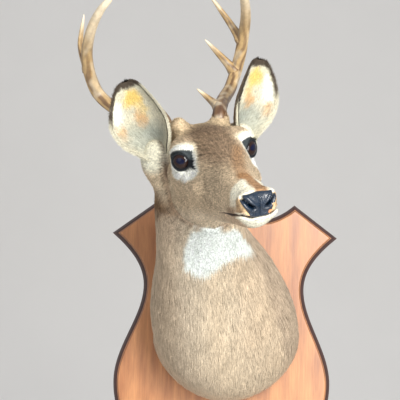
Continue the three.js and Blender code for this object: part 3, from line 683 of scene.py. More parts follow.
def ear_colour(side, u, v, inner, world):
    """Cream inside with yellow and tan patches and painted grey shade low in the hollow, a dark tip and rim, grey-brown
    on the back.
    """
    spot = np.column_stack([u, v]) + 0.03 * np.column_stack([ripple(world, 14, 51), ripple(world, 14, 52)])

    def patch(at_u, at_v, size_u, size_v):
        return 1 - smooth(0.4, 1.2, np.hypot((spot[:, 0] - at_u) / size_u, (spot[:, 1] - at_v) / size_v))

    hollow = mix(EAR_CREAM, EAR_YELLOW, 0.95 * patch(0.76, 0.0, 0.14, 0.42))
    hollow = mix(hollow, EAR_YELLOW, 0.5 * patch(0.60, -0.15, 0.14, 0.2))
    hollow = mix(hollow, EAR_ORANGE, 0.75 * patch(0.44, -0.02, 0.13, 0.18))
    hollow = mix(hollow, EAR_ORANGE, 0.7 * patch(0.38, 0.66, 0.13, 0.22))
    hollow = mix(hollow, linear((176, 168, 150)), 0.5 * patch(0.42, 0.9, 0.3, 0.24))
    # Painted shade: grey-green low in the hollow, where the ear lies in shade.
    hollow = mix(hollow, linear((150, 152, 146)), 0.6 * patch(0.2, -0.1, 0.1, 0.35))
    hollow = mix(hollow, linear((160, 164, 152)), 0.75 * patch(0.18, 0.1, 0.26, 0.95))
    hollow = mix(hollow, linear((250, 250, 240)), 0.8 * patch(0.62, 0.62, 0.2, 0.3))
    back = mix(EAR_BACK, linear((214, 206, 186)), 0.8 * (1 - smooth(0.1, 0.3, u)))
    c = np.where(np.asarray(inner)[:, None], hollow, back)
    c = mix(c, EAR_CREAM, 0.8 * smooth(0.82, 0.96, np.abs(v)))
    outer_rim = smooth(0.84, 0.97, spot[:, 1]) * smooth(0.5, 0.66, u)
    inner_rim = smooth(0.82, 0.96, -spot[:, 1]) * smooth(0.4, 0.55, u) * (1.0 if side > 0 else 0.2)
    tip = smooth(0.875, 0.93, spot[:, 0])
    return mix(c, EAR_EDGE, np.maximum.reduce([outer_rim, inner_rim, tip]) * 0.95)


def ear_unwrap(side, u, v, inner):
    strip = (0 if side > 0 else 0.5) + np.where(inner, 0.02, 0.27)
    return np.column_stack([strip + 0.21 * (v + 1) / 2, 0.8 + 0.19 * u])


def make_ear_skin(side):
    """A thin sheet with two faces, closed round its rim."""
    rows, columns = ((48, 30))
    u, v = (g.ravel() for g in np.meshgrid(np.linspace(0, 1, rows + 1), np.linspace(-1, 1, columns + 1), indexing="ij"))
    point, face, _, _ = ear_frame(side, u, v)
    skin = EAR_SKIN * (1 - 0.4 * v * v)
    points = np.vstack([point + face * skin[:, None], point - face * skin[:, None]])
    wide, back = columns + 1, len(u)
    i, j = (g.ravel() for g in np.meshgrid(np.arange(rows), np.arange(columns), indexing="ij"))
    a = i * wide + j
    front = np.column_stack([a, a + 1, a + 1 + wide, a + wide])
    behind = front[:, ::-1] + back
    k = np.arange(rows) * wide
    left = np.column_stack([k, k + wide, back + k + wide, back + k])
    right = np.column_stack([k, back + k, back + k + wide, k + wide]) + columns * np.array([1, 1, 1, 1])
    top = rows * wide + np.arange(columns)
    tip = np.column_stack([top, top + 1, back + top + 1, back + top])
    quads = np.vstack([front, behind, left, right, tip])
    if side < 0:
        quads = quads[:, ::-1]
    inner = np.concatenate([np.ones(back, bool), np.zeros(back, bool)])
    uu, vv = np.tile(u, 2), np.tile(v, 2)
    places = ear_unwrap(side, uu, vv, inner)[quads]
    colours = ear_colour(side, uu, vv, inner, points)
    return points, quads, places, mesh_normals(points, quads), colours


def ear_tufts(side, name, material):
    """Long hair inside the ear, a short coat on its back and a fringe round its rim."""
    label = "left" if side > 0 else "right"

    def coat(kind, count, u, v, inner, length, width, lift, joints, outwards):
        point, face, run, turn = ear_frame(side, u, v)
        sway = rng.normal(0, 0.22, count)[:, None]
        if kind == "rim":
            edge = turn * np.sign(v)[:, None]
            normal, root = unit(edge + 0.3 * face), point - 0.2 * face
            lie = run * rng.uniform(0.5, 1.1, (count, 1)) - face * rng.uniform(0.2, 0.9, (count, 1)) + edge * sway
        else:
            normal = face if inner else -face
            root = point + normal * EAR_SKIN * 0.6
            lie = run * (-0.7 if kind == "foot" else 1) + turn * (np.asarray(outwards)[:, None] + sway)
        lie = unit(lie - np.sum(lie * normal, axis=1, keepdims=True) * normal)
        colour = ear_colour(side, u, v, np.full(count, inner), root) * rng.uniform(0.72, 1.18, (count, 1))
        ob = tuft_mesh(f"{name}_{label}_{kind}", root, unit(normal), lie, length, width, lift, colour,
                       ear_unwrap(side, u, v, np.full(count, inner)), joints)
        dress(ob, material, "ear_coat")

    count = 7000
    u, v = rng.beta(1.3, 1.25, count) * 0.97, rng.uniform(-0.97, 0.97, count)
    edge = np.abs(v) ** 2
    length = rng.uniform(0.7, 1.25, count) * (13 - 7 * u) * (1 - 0.25 * edge)
    coat("hollow", count, u, v, True, length, 1.0, 0.34 + 0.25 * rng.random(count), 2, 0.25 * v)
    count = 9000
    u, v = rng.uniform(0, 0.99, count), rng.uniform(-0.95, 0.95, count)
    coat("back", count, u, v, False, rng.uniform(5, 8, count), 0.9, 0.16, 1, 0.1 * v)
    count = 900
    u, v = rng.uniform(0.02, 0.17, count), rng.uniform(0.2, 0.98, count)
    coat("foot", count, u, v, True, rng.uniform(7, 13, count), 1.0, 0.3, 1, 0.5 + 0.3 * v)
    count = 4000
    u, v = rng.uniform(0.02, 1, count), np.where(rng.random(count) < 0.5, -1, 1) * rng.uniform(0.97, 1, count)
    coat("rim", count, u, v, True, rng.uniform(3.5, 8, count), 0.75, 0.1, 1, 0 * v)


# ---- Eyes and nose ----
def make_eye(side, material):
    """A glass ball, its iris and wide pupil painted inside."""
    rows, columns = 48, 64
    off = np.linspace(0.01, math.pi - 0.01, rows)
    turn = np.arange(columns) * 2 * math.pi / columns
    off, turn = (g.ravel() for g in np.meshgrid(off, turn, indexing="ij"))
    ways = np.outer(np.cos(off), EYE_AHEAD) + np.outer(np.sin(off) * np.cos(turn), EYE_LONG) + np.outer(np.sin(off) * np.sin(turn), EYE_SHORT)
    flip = np.array([side, 1, 1])
    points = to_world((EYE_CENTRE + ways * EYE_RADIUS) * flip)
    quads, _ = ring_faces(rows, columns)
    quads = quads if side > 0 else quads[:, ::-1]
    across, above = np.sin(off) * np.cos(turn) * EYE_RADIUS, np.sin(off) * np.sin(turn) * EYE_RADIUS
    pupil = smooth(1.15, 0.85, np.hypot((across - 1.6) / 6.0, (above - 2.2) / 4.2))
    iris = smooth(1.08, 0.92, np.hypot((across - 1) / 10.2, (above - 1) / 9.6))
    colour = mix(linear((14, 10, 9)), linear((36, 20, 15)), iris)
    # The pupil: near black, with a navy tint that is a painted reflection.
    colour = mix(colour, linear((4, 9, 36)), pupil)
    ends = [np.arange(columns)[::-1], (rows - 1) * columns + np.arange(columns)]
    caps = [np.array([end if side > 0 else end[::-1]]) for end in ends]
    ob = add_mesh("glass_eye_left" if side > 0 else "glass_eye_right", points, [quads, *caps], colour)
    return dress(ob, material, "eye_glass", "eye_left" if side > 0 else "eye_right")


def make_lashes(material):
    """A row of short dark hairs on each upper lid."""
    roots, normals, lies, lengths = [], [], [], []
    for side in (1, -1):
        count = 70
        turn = np.linspace(0.45, 2.9, count) + rng.normal(0, 0.02, count)
        edge = 1 / np.sqrt((np.cos(turn) / LID_LONG) ** 2 + (np.sin(turn) / LID_SHORT) ** 2)
        off = edge + 0.10 + 0.03 * rng.random(count)
        way = np.outer(np.cos(off), EYE_AHEAD) + np.outer(np.sin(off) * np.cos(turn), EYE_LONG) + np.outer(np.sin(off) * np.sin(turn), EYE_SHORT)
        root = EYE_CENTRE + way * (EYE_RADIUS + 1.8)
        lie = unit(way * 0.9 + EYE_SHORT * 0.45 + EYE_AHEAD * 0.5 + rng.normal(0, 0.08, (count, 3)))
        flip = np.array([side, 1, 1])
        roots.append(to_world(root * flip))
        lies.append((lie * flip) @ HEAD_AXES.T)
        normals.append((way * flip) @ HEAD_AXES.T)
        lengths.append(rng.uniform(4, 7, count))
    root, normal, lie, length = (np.concatenate(part) for part in (roots, normals, lies, lengths))
    colour = np.tile(linear((30, 26, 24)), (len(root), 1))
    place = np.tile([0.5, 0.5], (len(root), 1)) + rng.uniform(-0.02, 0.02, (len(root), 2))
    normal = unit(normal - np.sum(normal * lie, axis=1, keepdims=True) * lie)
    dress(tuft_mesh("lashes", root, normal, lie, length, 0.45, 0.0, colour, place), material, "coat")


WORN_SPOTS = [((12.5, -187, 10.5), 2.9, (198, 128, 76)), ((16.5, -187, 20), 1.7, (214, 172, 118)),
              ((17.5, -187, 25), 1.5, (206, 164, 112)), ((2, -188, 9), 1.6, (150, 142, 136))]


def make_nose_pad(skin, material):
    """The bare pad, a little proud of the skin, with spots where its paint has chipped, and a blue tint that is a
    painted reflection.
    """
    points, quads, places, normals, outline = skin
    head = to_head(outline)
    pad = pad_inside(mirrored(head))
    kept = np.all(pad[quads] > -1.3, axis=1)
    used, index = np.unique(quads[kept], return_inverse=True)
    inside, at = pad[used], head[used]
    proud = 0.55 * smooth(-1.2, 0.8, inside) - 0.3
    place = points[used] + normals[used] * proud[:, None]
    nostril, _ = line_distance(mirrored(at), NOSTRIL)
    # Black pad with a blue tint that is a painted reflection; the nostril slits near black.
    c = mix(linear((4, 26, 45)), linear((3, 3, 4)), bump_at(nostril, 0, 2.2))
    speck = ripple(place, 5, 61) * 0.35
    for spot, size, rgb in WORN_SPOTS:
        away = np.linalg.norm(at - np.array(spot), axis=1) / size
        c = mix(c, linear(rgb), smooth(1.15, 0.8, away + speck))
    ob = add_mesh("nose_pad", place, index.reshape(-1, 4), c, places[kept].reshape(-1, 2), None)
    return dress(ob, material, "nose_skin", "nose")


# ---- Antlers: points are given from the pedicle as [outwards, back, up] ----
BEAM_START = {1: [[-3, -5, -14], [1, 2, 8]], -1: [[0, 6, -28], [7, 23, -13]]}
BEAM_PATH = [[17, 43, 15], [41, 100, 16], [63, 142, 22], [81, 161, 44], [90, 153, 72],
             [94, 135, 104], [92, 109, 130], [85, 83, 155], [73, 57, 177], [57, 35, 193]]
BEAM_TAPER = curve([[0, 1], [0.35, 1], [0.55, 0.94], [0.7, 0.84], [0.85, 0.68], [0.95, 0.5], [1, 0.32]])
TINES = {
    1: [(0.1, [-13, 59, 41], 7.5, 4), (0.5, [37, 159, 101], 8, 4), (0.625, [55, 173, 172], 7.2, 4)],
    -1: [(0.11, [8, 80, 27], 7, -3), (0.6, [77, 205, 165], 7.2, 9)],
}
ANTLER_NODES = {
    1: ["beam_lower", "beam_middle", "beam_upper", "brow_tine", "second_tine", "third_tine"],
    -1: ["beam_lower", "beam_middle", "beam_upper", "brow_tine", "second_tine"],
}


class Path:
    """A centripetal curve through points, read by the length run along it."""

    def __init__(self, points):
        points = np.array(points, float)
        ends = 2 * points[0] - points[1], 2 * points[-1] - points[-2]
        p = np.vstack([ends[0], points, ends[1]])
        gaps = np.sqrt(np.linalg.norm(np.diff(p, axis=0), axis=1))
        t = np.linspace(0, 1, 25)[:, None]
        runs = []
        for i in range(1, len(p) - 2):
            d0, d1, d2 = gaps[i - 1 : i + 2]
            leave = ((p[i] - p[i - 1]) / d0 - (p[i + 1] - p[i - 1]) / (d0 + d1) + (p[i + 1] - p[i]) / d1) * d1
            arrive = ((p[i + 1] - p[i]) / d1 - (p[i + 2] - p[i]) / (d1 + d2) + (p[i + 2] - p[i + 1]) / d2) * d1
            square = -3 * p[i] + 3 * p[i + 1] - 2 * leave - arrive
            cube = 2 * p[i] - 2 * p[i + 1] + leave + arrive
            runs.append(p[i] + leave * t + square * t**2 + cube * t**3)
        dense = np.vstack([run[:-1] for run in runs] + [runs[-1][-1:]])
        self.dense = dense
        self.stations = np.concatenate([[0], np.cumsum(np.linalg.norm(np.diff(dense, axis=0), axis=1))])
        self.length = self.stations[-1]

    def at(self, station):
        return np.column_stack([np.interp(station, self.stations, axis) for axis in self.dense.T])


def tube(path, stations, radius_at, sides=22):
    """A round bar with its ends closed: points, quads, end triangles, and the run and turn of each point."""
    centre = path.at(stations)
    ahead = unit(path.at(stations + 0.5) - path.at(stations - 0.5))
    normal = unit(np.cross(ahead[0], [0.3, 0.2, 0.9]))
    rings = []
    turn = np.arange(sides) * 2 * math.pi / sides
    for c, a, s in zip(centre, ahead, stations):
        normal = unit(normal - (normal @ a) * a)
        other = np.cross(a, normal)
        spoke = np.outer(np.cos(turn), normal) + np.outer(np.sin(turn), other)
        rings.append(c + spoke * radius_at(s, turn)[:, None])
    points = np.vstack(rings + [centre[:1], centre[-1:]])
    quads, _ = ring_faces(len(stations), sides)
    k = np.arange(sides)
    last = (len(stations) - 1) * sides
    first_cap = np.column_stack([np.full(sides, len(points) - 2), (k + 1) % sides, k])
    last_cap = np.column_stack([np.full(sides, len(points) - 1), last + k, last + (k + 1) % sides])
    run = np.concatenate([np.repeat(stations, sides), stations[:1], stations[-1:]])
    return points, quads, np.vstack([first_cap, last_cap]), run, np.concatenate([np.tile(turn, len(stations)), [0, 0]])


BONE, BONE_BROWN, BONE_TIP = linear((182, 152, 106)), linear((84, 56, 36)), linear((232, 218, 190))


def antler_colour(world, share, turn, seed):
    """Brown and rough near the skull, honey along the beam and ivory at the tips; darker along the grooves."""
    c = mix(BONE_BROWN, BONE, smooth(0.0, 0.36, share + 0.06 * ripple(world, 30, seed)))
    c = mix(c, BONE_TIP, smooth(0.66, 1.0, share) * 0.95)
    grooves = 0.5 + 0.5 * np.sin(5 * turn + 2.5 * ripple(world, 55, seed + 1))
    c = mix(c, BONE_BROWN, 0.85 * smooth(0.3, 0.8, grooves) * (1 - smooth(0.4, 1.0, share)))
    c = mix(c, BONE_TIP, 0.45 * smooth(0.2, 0.9, ripple(world, 26, seed + 2)) * (1 - 0.5 * share))
    return np.clip(c, 0, 0.95)


def antler_place(p, side):
    return to_world((PEDICLE + np.array(p, float)) * [side, 1, 1])


def make_antler(side, material):
    """Beam and tines as one piece, grooved along their length and beaded at the burr."""
    beam = Path([antler_place(p, side) for p in BEAM_START[side] + BEAM_PATH])
    length = beam.length

    def beam_radius(s, turn):
        burr = 0.25 * (BURR_RADIUS - BEAM_RADIUS) * math.exp(-(((s - BURR_STATION) / 5) ** 2))
        point = min(1, math.sqrt(max(length - s, 0.2) / 14))
        beads = 0.06 * math.exp(-(((s - BURR_STATION) / 5.5) ** 2)) * np.sin(13 * turn + 0.9 * s) * (0.6 + 0.4 * np.sin(0.8 * s))
        grooves = 0.035 * np.sin(7 * turn + 0.012 * s) * (1 - s / length) + 0.02 * np.sin(3 * turn + 0.03 * s)
        pearls = 0.05 * np.sin(11 * turn + 0.7 * s) * np.sin(0.55 * s + 2 * turn) * math.exp(-max(s - 20, 0) / 45)
        return (BEAM_RADIUS * BEAM_TAPER(s / length) + burr) * point * (1 + beads + grooves + pearls)

    stations = np.concatenate([np.arange(0.5, 48, 1.6), np.arange(48, length - 12, 4), length - np.linspace(11, 0, 12)])
    parts = [(*tube(beam, stations, beam_radius, 28), length)]
    for share, tip, radius, bow in TINES[side]:
        start = beam.at(np.array([share * length]))[0]
        end = antler_place(tip, side)
        bend = np.array([side * bow, 3, -4]) @ HEAD_AXES.T
        path = Path([start, (start + end) / 2 + bend, end])
        run = path.length

        def tine_radius(s, turn, radius=radius, run=run):
            taper = math.sqrt(max(1 - s / run, 0.012)) * (1 - 0.15 * s / run)
            flare = 2.6 * math.exp(-max(s - 8, 0) / 5.5)
            return (radius * taper + flare) * (1 + 0.03 * np.sin(5 * turn + 0.02 * s))

        steps = np.concatenate([np.arange(1, run - 6, 2.5), run - np.linspace(5.5, 0, 8)])
        parts.append((*tube(path, steps, tine_radius, 20), run))
    points, quads, triangles, colours, offset = [], [], [], [], 0
    for number, (p, q, t, run, turn, whole) in enumerate(parts):
        share = run / whole if number == 0 else 0.25 + 0.75 * run / whole
        colours.append(antler_colour(p, share, turn, 70 + 5 * number))
        points.append(p)
        quads.append(q + offset)
        triangles.append(t + offset)
        offset += len(p)
    label = "left" if side > 0 else "right"
    quads, triangles = np.vstack(quads), np.vstack(triangles)
    ob = add_mesh(f"antler_{label}", np.vstack(points), [quads, triangles], np.vstack(colours))
    return dress(ob, material, "antler_bone", *[f"antler_{label}_{n}" for n in ANTLER_NODES[side]])


# ---- The board ----
def bezier(points, steps):
    p = np.array(points, float)
    t = np.linspace(0, 1, steps, endpoint=False)[:, None]
    if len(p) == 2:
        return p[0] + (p[1] - p[0]) * t
    if len(p) == 3:
        return (1 - t) ** 2 * p[0] + 2 * t * (1 - t) * p[1] + t**2 * p[2]
    return (1 - t) ** 3 * p[0] + 3 * t * (1 - t) ** 2 * p[1] + 3 * t**2 * (1 - t) * p[2] + t**3 * p[3]


def board_outline():
    right = np.vstack([
        bezier([(0, 259), (35, 233), (74, 233)], 14),
        bezier([(74, 233), (98, 239), (121, 259)], 12),
        bezier([(121, 259), (196, 203)], 10),
        bezier([(196, 203), (164, 176), (139, 148), (139, 112)], 22),
        bezier([(139, 112), (139, 58), (186, 8), (186, -50)], 26),
        bezier([(186, -50), (186, -110), (152, -166), (100, -195)], 26),
        bezier([(100, -195), (62, -216), (24, -232), (0, -259)], 20),
    ])
    return clear_corners(np.vstack([right, [(0, -259)], right[:0:-1] * [-1, 1]]), 14.5)


def clear_corners(outline, reach):
    """Drop the places that crowd a sharp corner, so that the moulding's lines don't cross there."""
    arrive = unit(outline - np.roll(outline, 1, axis=0))
    leave = unit(np.roll(outline, -1, axis=0) - outline)
    sharp = np.sum(arrive * leave, axis=1) < 0.5
    gaps = np.linalg.norm(outline[:, None] - outline[sharp][None], axis=2).min(axis=1)
    return outline[sharp | (gaps > reach)]


def inset(outline, distance):
    before, after = np.roll(outline, 1, axis=0), np.roll(outline, -1, axis=0)
    arrive, leave = unit(outline - before), unit(after - outline)
    bisector = unit(arrive + leave)
    reach = distance / np.maximum(np.sum(bisector * arrive, axis=1), 0.3)
    return outline + np.column_stack([bisector[:, 1], -bisector[:, 0]]) * reach[:, None]


BOARD_PROFILE = [(0.8, 0), (0, 0.9), (0, 10), (0.35, 11), (1.3, 11.7), (1.7, 13.2), (2.6, 15.2), (4.2, 17.2),
                 (6.2, 18.6), (7.6, 19.1), (8.0, 19.5), (8.3, 20.8), (8.9, 21.7), (9.8, 22), (10.8, 22)]


def make_board(material):
    """A shield with a moulded edge: a bead, a cove and a flat face."""
    outline = board_outline()
    count = len(outline)
    rings = [inset(outline, inwards) for inwards, _ in BOARD_PROFILE]
    points = np.vstack([np.column_stack([r[:, 0], np.full(count, -forward), r[:, 1]]) for r, (_, forward) in zip(rings, BOARD_PROFILE)])
    quads, _ = ring_faces(len(rings), count)
    last = (len(rings) - 1) * count
    back, front = np.arange(count)[None], (last + np.arange(count))[::-1][None]
    edge = np.array([inwards for inwards, _ in BOARD_PROFILE]) / BOARD_EDGE
    rim = np.repeat(edge, count)
    ob = add_mesh("shield_board", points, [quads[:, ::-1], back, front], smooth_it=True)
    set_attribute(ob.data, "inwards", "FLOAT", "POINT", "value", rim)
    ob.data.set_sharp_from_angle(angle=math.radians(40))
    return dress(ob, material, "board_wood", "board")


# ---- Materials ----
class Shader:
    """A node material: each call adds a node and returns it."""

    def __init__(self, name, **settings):
        self.material = bpy.data.materials.new(name)
        self.material.use_nodes = True
        self.tree = self.material.node_tree
        self.surface = self.tree.nodes["Principled BSDF"]
        for socket, value in settings.items():
            self.surface.inputs[socket.replace("_", " ")].default_value = value

    def node(self, kind, inputs=(), **properties):
        made = self.tree.nodes.new(kind)
        for key, value in properties.items():
            setattr(made, key, value)
        for socket, value in dict(inputs).items():
            if isinstance(value, bpy.types.NodeSocket):
                self.tree.links.new(value, made.inputs[socket])
            else:
                made.inputs[socket].default_value = value
        return made

    def places(self, scale=(1, 1, 1)):
        spots = self.node("ShaderNodeTexCoord").outputs["Object"]
        return self.node("ShaderNodeMapping", {"Vector": spots, "Scale": scale}).outputs["Vector"]

    def noise(self, scale, detail=3.0, stretch=(1, 1, 1)):
        sockets = {"Vector": self.places(stretch), "Scale": scale, "Detail": detail}
        return self.node("ShaderNodeTexNoise", sockets).outputs["Fac"]

    def ranged(self, value, low, high, to_low, to_high):
        sockets = {"Value": value, "From Min": low, "From Max": high, "To Min": to_low, "To Max": to_high}
        return self.node("ShaderNodeMapRange", sockets).outputs["Result"]

    def attribute(self, name, output="Color"):
        return self.node("ShaderNodeAttribute", attribute_name=name).outputs[output]

    def mixed(self, a, b, share, blend_type="MIX"):
        node = self.node("ShaderNodeMix", data_type="RGBA", blend_type=blend_type)
        for socket, value in ((0, share), (6, a), (7, b)):
            if isinstance(value, bpy.types.NodeSocket):
                self.tree.links.new(value, node.inputs[socket])
            else:
                node.inputs[socket].default_value = value if socket == 0 else (*value, 1)
        return node.outputs[2]

    def scaled(self, colour, value):
        """A colour made lighter or darker by a value round 1."""
        grey = self.node("ShaderNodeCombineColor", {"Red": value, "Green": value, "Blue": value}).outputs["Color"]
        return self.mixed(colour, grey, 1.0, "MULTIPLY")

    def paint(self, colour):
        self.tree.links.new(colour, self.surface.inputs["Base Color"])

    def roughen(self, value):
        self.tree.links.new(value, self.surface.inputs["Roughness"])

    def bump(self, height, distance, strength=1.0):
        sockets = {"Height": height, "Distance": distance, "Strength": strength}
        normal = self.node("ShaderNodeBump", sockets).outputs["Normal"]
        self.tree.links.new(normal, self.surface.inputs["Normal"])


def coat_material(name, bumped, contrast):
    shader = Shader(name, Roughness=0.72, Specular_IOR_Level=0.25)
    ticks = shader.ranged(shader.noise(420, 3), 0.32, 0.68, 1 - contrast, 1 + 0.8 * contrast)
    shader.paint(shader.scaled(shader.attribute("markings"), ticks))
    if bumped:
        shader.bump(shader.noise(1100, 2), 0.0006)
    return shader.material


def nose_material():
    shader = Shader("wet_nose", Specular_IOR_Level=0.6, Coat_Weight=0.35, Coat_Roughness=0.12)
    shader.paint(shader.scaled(shader.attribute("markings"), shader.ranged(shader.noise(400), 0.3, 0.7, 0.8, 1.25)))
    shader.roughen(shader.ranged(shader.noise(160), 0.3, 0.7, 0.2, 0.42))
    cells = shader.node("ShaderNodeTexVoronoi", {"Vector": shader.places(), "Scale": 650.0}).outputs["Distance"]
    shader.bump(cells, 0.0004, 0.6)
    return shader.material


def eye_material():
    shader = Shader("eye_glass", Roughness=0.03, Specular_IOR_Level=0.3)
    shader.paint(shader.scaled(shader.attribute("markings"), shader.ranged(shader.noise(500), 0.3, 0.7, 0.8, 1.2)))
    return shader.material


def antler_material():
    shader = Shader("antler_bone", Specular_IOR_Level=0.5, Coat_Weight=0.15, Coat_Roughness=0.3)
    shader.paint(shader.scaled(shader.attribute("markings"), shader.ranged(shader.noise(120, 5), 0.3, 0.7, 0.82, 1.15)))
    shader.roughen(shader.ranged(shader.noise(90), 0.3, 0.7, 0.36, 0.56))
    shader.bump(shader.noise(420, 4), 0.0006, 0.7)
    return shader.material


def wood_material():
    shader = Shader("walnut", Specular_IOR_Level=0.5, Coat_Weight=0.3, Coat_Roughness=0.34)
    grain = shader.noise(9, 6, (5, 5, 0.7))
    fine = shader.noise(120, 3, (3, 3, 0.25))
    wood = shader.mixed(tuple(linear((150, 94, 56))), tuple(linear((196, 136, 86))), shader.ranged(grain, 0.32, 0.68, 0, 1))
    wood = shader.scaled(wood, shader.ranged(fine, 0.3, 0.7, 0.88, 1.1))
    inwards = shader.attribute("inwards", "Fac")
    edge = shader.scaled(tuple(linear((58, 28, 20))), shader.ranged(fine, 0.3, 0.7, 0.7, 1.3))
    wood = shader.mixed(edge, wood, shader.ranged(inwards, 0.93, 0.99, 0, 1))
    # Painted highlight: a light line along the bead of the moulding.
    painted_highlight = shader.scaled(tuple(linear((178, 124, 84))), shader.ranged(fine, 0.3, 0.7, 0.75, 1.15))
    rise, fall = shader.ranged(inwards, 0.72, 0.80, 0, 1), shader.ranged(inwards, 0.84, 0.9, 1, 0)
    line = shader.node("ShaderNodeMath", {0: rise, 1: fall}, operation="MULTIPLY").outputs[0]
    wood = shader.mixed(wood, painted_highlight, line)

    shader.paint(wood)
    shader.roughen(shader.ranged(grain, 0.3, 0.7, 0.38, 0.5))
    shader.bump(fine, 0.0003, 0.5)
    return shader.material


# ---- The coat ----
def grow_collars(material, count):
    """Longer hair that stands up round the foot of each antler."""
    for side in (1, -1):
        label = "left" if side > 0 else "right"
        beam = Path([antler_place(p, side) for p in BEAM_START[side] + BEAM_PATH])
        foot = beam.at(np.array([0.0, 18.0]))
        axis = unit(foot[1] - foot[0])
        turn, run = rng.uniform(0, 2 * math.pi, count // 2), rng.uniform(0, 1, count // 2)
        east = unit(np.cross(axis, [0.2, 1.0, 0.1]))
        spoke = np.outer(np.cos(turn), east) + np.outer(np.sin(turn), np.cross(axis, east))
        root = foot[0] + axis * (1 + 13 * run)[:, None] + spoke * (12.4 - 2.6 * run)[:, None]
        lie = unit(axis + 0.02 * spoke + rng.normal(0, 0.10, (len(root), 3)))
        normal = unit(spoke - np.sum(spoke * lie, axis=1, keepdims=True) * lie)
        colour = mix(CROWN, BRIDGE, rng.uniform(0, 0.7, len(root))) * rng.normal(1, 0.15, (len(root), 1))
        place = np.column_stack([0.53 + 0.03 * side * (0.3 + run), 0.02 * turn / math.pi + 0.27])
        ob = tuft_mesh(f"coat_collar_{label}", root, normal, lie, rng.uniform(4, 8, len(root)), 0.8,
                       0.06, np.clip(colour, 0, 0.95), place)
        dress(ob, material, "coat")


def make_coat(skin, material, neck_material):
    """Short fine tufts on the head and longer ones down the neck."""

    def bald(p, head):
        bare = by_eye(p, BARE_EYE_LOOP) > -1.6
        bare |= pad_inside(p) > -1.5
        bare |= line_distance(p, NOSTRIL)[0] < 2.5
        bare |= line_distance(p, TEAR_DUCT)[0] < 2.4
        mouth, run = line_distance(p, MOUTH)
        bare |= mouth < 2.4 - 1.4 * run
        return bare

    def face_weight(points):
        head = to_head(points)
        p = mirrored(head)
        fine = 1.9 - 0.9 * smooth(-150, -40, p[:, 1])
        return np.where(bald(p, head), 0, (1 - smooth(6, 46, past_nape(head))) * fine)

    def neck_weight(points):
        head = to_head(points)
        return smooth(-14, 34, past_nape(head)) * (points[:, 1] < -BOARD_THICKNESS - 1)

    def grow(name, count, weight, length_at, width_at, lift_at, spread, joints, pieces):
        shader = neck_material if name == "coat_neck" else material
        for number in range(pieces):
            root, normal, place, above = scattered(skin, count // pieces, weight)
            head = to_head(above)
            lie = lie_of_coat(above, normal)
            size = rng.uniform(0.75, 1.25, len(root))
            fleck = spread * (1.1 * ripple(root, 4.5, 91, 20) + 0.4 * ripple(root, 13, 92))
            tone = rng.normal(1, spread, (len(root), 1)) * (1 + fleck[:, None])
            base = markings(above)
            calm = 1 - 0.65 * smooth(0.3, 0.75, base[:, 1:2])
            colour = np.clip(base * np.clip(1 + calm * (tone - 1), 0.5, 1.6), 0, 0.95)
            ob = tuft_mesh(f"{name}_{number + 1}", root, normal, lie, length_at(head) * size, width_at(head),
                           lift_at(head) * rng.uniform(0.6, 1.5, len(root)), colour, place, joints)
            dress(ob, shader, "coat")

    def nearness(head):
        return smooth(-150, -60, head[:, 1])

    def thick(head):
        return smooth(-30, 50, past_nape(head))

    share = 1
    grow_collars(material, int(4000 * share))
    grow("coat_face", int(132000 * share), face_weight, lambda h: 3.4 + 3.2 * nearness(h) + 5 * thick(h),
         lambda h: 0.62 + 0.3 * nearness(h), lambda h: 0.15 + 0 * nearness(h), 0.26, 1, 3)
    grow("coat_neck", int(70000 * share), neck_weight, lambda h: 10 + 10 * thick(h),
         lambda h: 0.9 + 0.45 * thick(h), lambda h: 0.19 + 0 * nearness(h), 0.1, 2, 4)


# ---- Stage, lights and camera ----
def make_stage():
    """A pale sweep: a floor well below the mount that curves up far behind it."""
    profile = [(-7.0, -1.15), (2.2, -1.15)]
    profile += [(2.2 + 1.6 * math.sin(a), -1.15 + 1.6 * (1 - math.cos(a))) for a in np.linspace(0.1, math.pi / 2, 16)]
    profile += [(3.8, 6.0)]
    points = np.array([(x, y, z) for y, z in profile for x in (-7.0, 7.0)]) / MM
    k = np.arange(len(profile) - 1) * 2
    ob = add_mesh("studio_sweep", points, np.column_stack([k, k + 1, k + 3, k + 2]))
    shader = Shader("pale_paper", Roughness=0.9)
    shader.paint(shader.scaled(tuple(linear((226, 224, 221))), shader.ranged(shader.noise(3), 0.3, 0.7, 0.99, 1.01)))
    ob.data.materials.append(shader.material)


def make_light(name, place, target, size, watts, colour):
    light = bpy.data.lights.new(name, "AREA")
    light.shape, light.size, light.size_y = "RECTANGLE", *size
    light.energy, light.color = watts, colour
    ob = bpy.data.objects.new(name, light)
    bpy.context.scene.collection.objects.link(ob)
    ahead = unit(np.array(target, float) - place)
    right = unit(np.cross(ahead, [0, 0, 1.0]))
    rows = np.column_stack([right, np.cross(right, ahead), -ahead, place])
    ob.matrix_world = Matrix(np.vstack([rows, [0, 0, 0, 1]]).tolist())


CAMERA_PLACE = np.array([-0.045, -1.756, 0.081])
CAMERA_PITCH, CAMERA_ROLL, CAMERA_LENS = math.radians(6), math.radians(1.5), 90


def make_camera():
    ahead = np.array([0, math.cos(CAMERA_PITCH), math.sin(CAMERA_PITCH)])
    level, above = np.array([1.0, 0, 0]), np.cross([1.0, 0, 0], ahead)
    right = math.cos(CAMERA_ROLL) * level + math.sin(CAMERA_ROLL) * above
    up = math.cos(CAMERA_ROLL) * above - math.sin(CAMERA_ROLL) * level
    camera = bpy.data.cameras.new("camera")
    camera.lens, camera.sensor_width = CAMERA_LENS, 36
    ob = bpy.data.objects.new("camera", camera)
    bpy.context.scene.collection.objects.link(ob)
    rows = np.column_stack([right, up, -ahead, CAMERA_PLACE])
    ob.matrix_world = Matrix(np.vstack([rows, [0, 0, 0, 1]]).tolist())
    bpy.context.scene.camera = ob


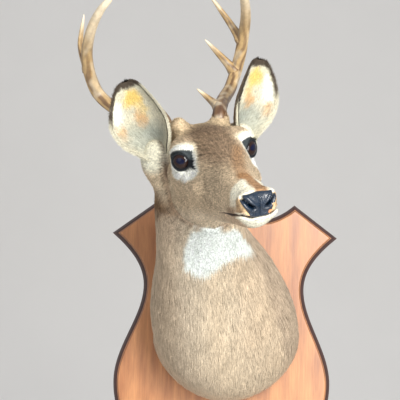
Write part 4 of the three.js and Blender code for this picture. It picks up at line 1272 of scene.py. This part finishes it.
def light_scene():
    world = bpy.data.worlds.new("studio")
    world.use_nodes = True
    world.node_tree.nodes["Background"].inputs["Color"].default_value = (0.80, 0.81, 0.83, 1)
    world.node_tree.nodes["Background"].inputs["Strength"].default_value = 0.8
    bpy.context.scene.world = world
    bpy.context.scene.view_settings.view_transform = "Standard"
    make_light("key", (0.62, -2.4, 0.95), (0, -0.3, 0.2), (0.8, 0.8), 51, (1, 0.965, 0.91))
    make_light("fill", (-1.5, -2.1, 0.1), (0, -0.3, 0.1), (1.4, 1.4), 6, (0.93, 0.96, 1))
    make_light("window", (0.75, -1.9, 0.05), (0.1, 0, 0.0), (0.6, 1.4), 30, (0.94, 0.97, 1))


# ---- Putting it together ----
def main():
    skin_shader, tuft_shader = coat_material("deer_skin", True, 0.28), coat_material("deer_coat", False, 0.3)
    neck_shader, ear_shader = coat_material("neck_coat", False, 0.12), coat_material("ear_coat", False, 0.15)
    body = make_skin()
    points, quads, places, normals, outline = body
    colours = markings(outline)
    parts = [(points, quads, places, normals, colours)] + [make_ear_skin(side) for side in (1, -1)]
    offsets = np.concatenate([[0], np.cumsum([len(part[0]) for part in parts])[:-1]])
    pole = np.mean(points[:RING_POINTS], axis=0)
    all_points = np.vstack([part[0] for part in parts] + [pole[None]])
    all_quads = np.vstack([part[1] + offset for part, offset in zip(parts, offsets)])
    k = np.arange(RING_POINTS)
    fan = np.column_stack([k, (k + 1) % RING_POINTS, np.full(RING_POINTS, len(all_points) - 1)])
    fan_places = np.stack([np.column_stack([k / RING_POINTS, 0 * k]), np.column_stack([(k + 1) / RING_POINTS, 0 * k]),
                           np.column_stack([(k + 0.5) / RING_POINTS, 0 * k - 0.003])], axis=1)
    all_places = np.vstack([part[2].reshape(-1, 2) for part in parts] + [fan_places.reshape(-1, 2)])
    all_colours = np.vstack([part[4] for part in parts] + [colours[:1]])
    skin = add_mesh("skin", all_points, [all_quads, fan], all_colours, all_places)
    dress(skin, skin_shader, "coat", "neck", "shoulders", "head", "muzzle", "lower_jaw", "ear_left", "ear_right")
    make_nose_pad(body, nose_material())
    make_coat(body, tuft_shader, neck_shader)
    glass = eye_material()
    bone = antler_material()
    for side in (1, -1):
        ear_tufts(side, "ear", ear_shader)
        make_eye(side, glass)
        make_antler(side, bone)
    make_lashes(tuft_shader)
    make_board(wood_material())
    make_stage()
    light_scene()
    make_camera()


main()
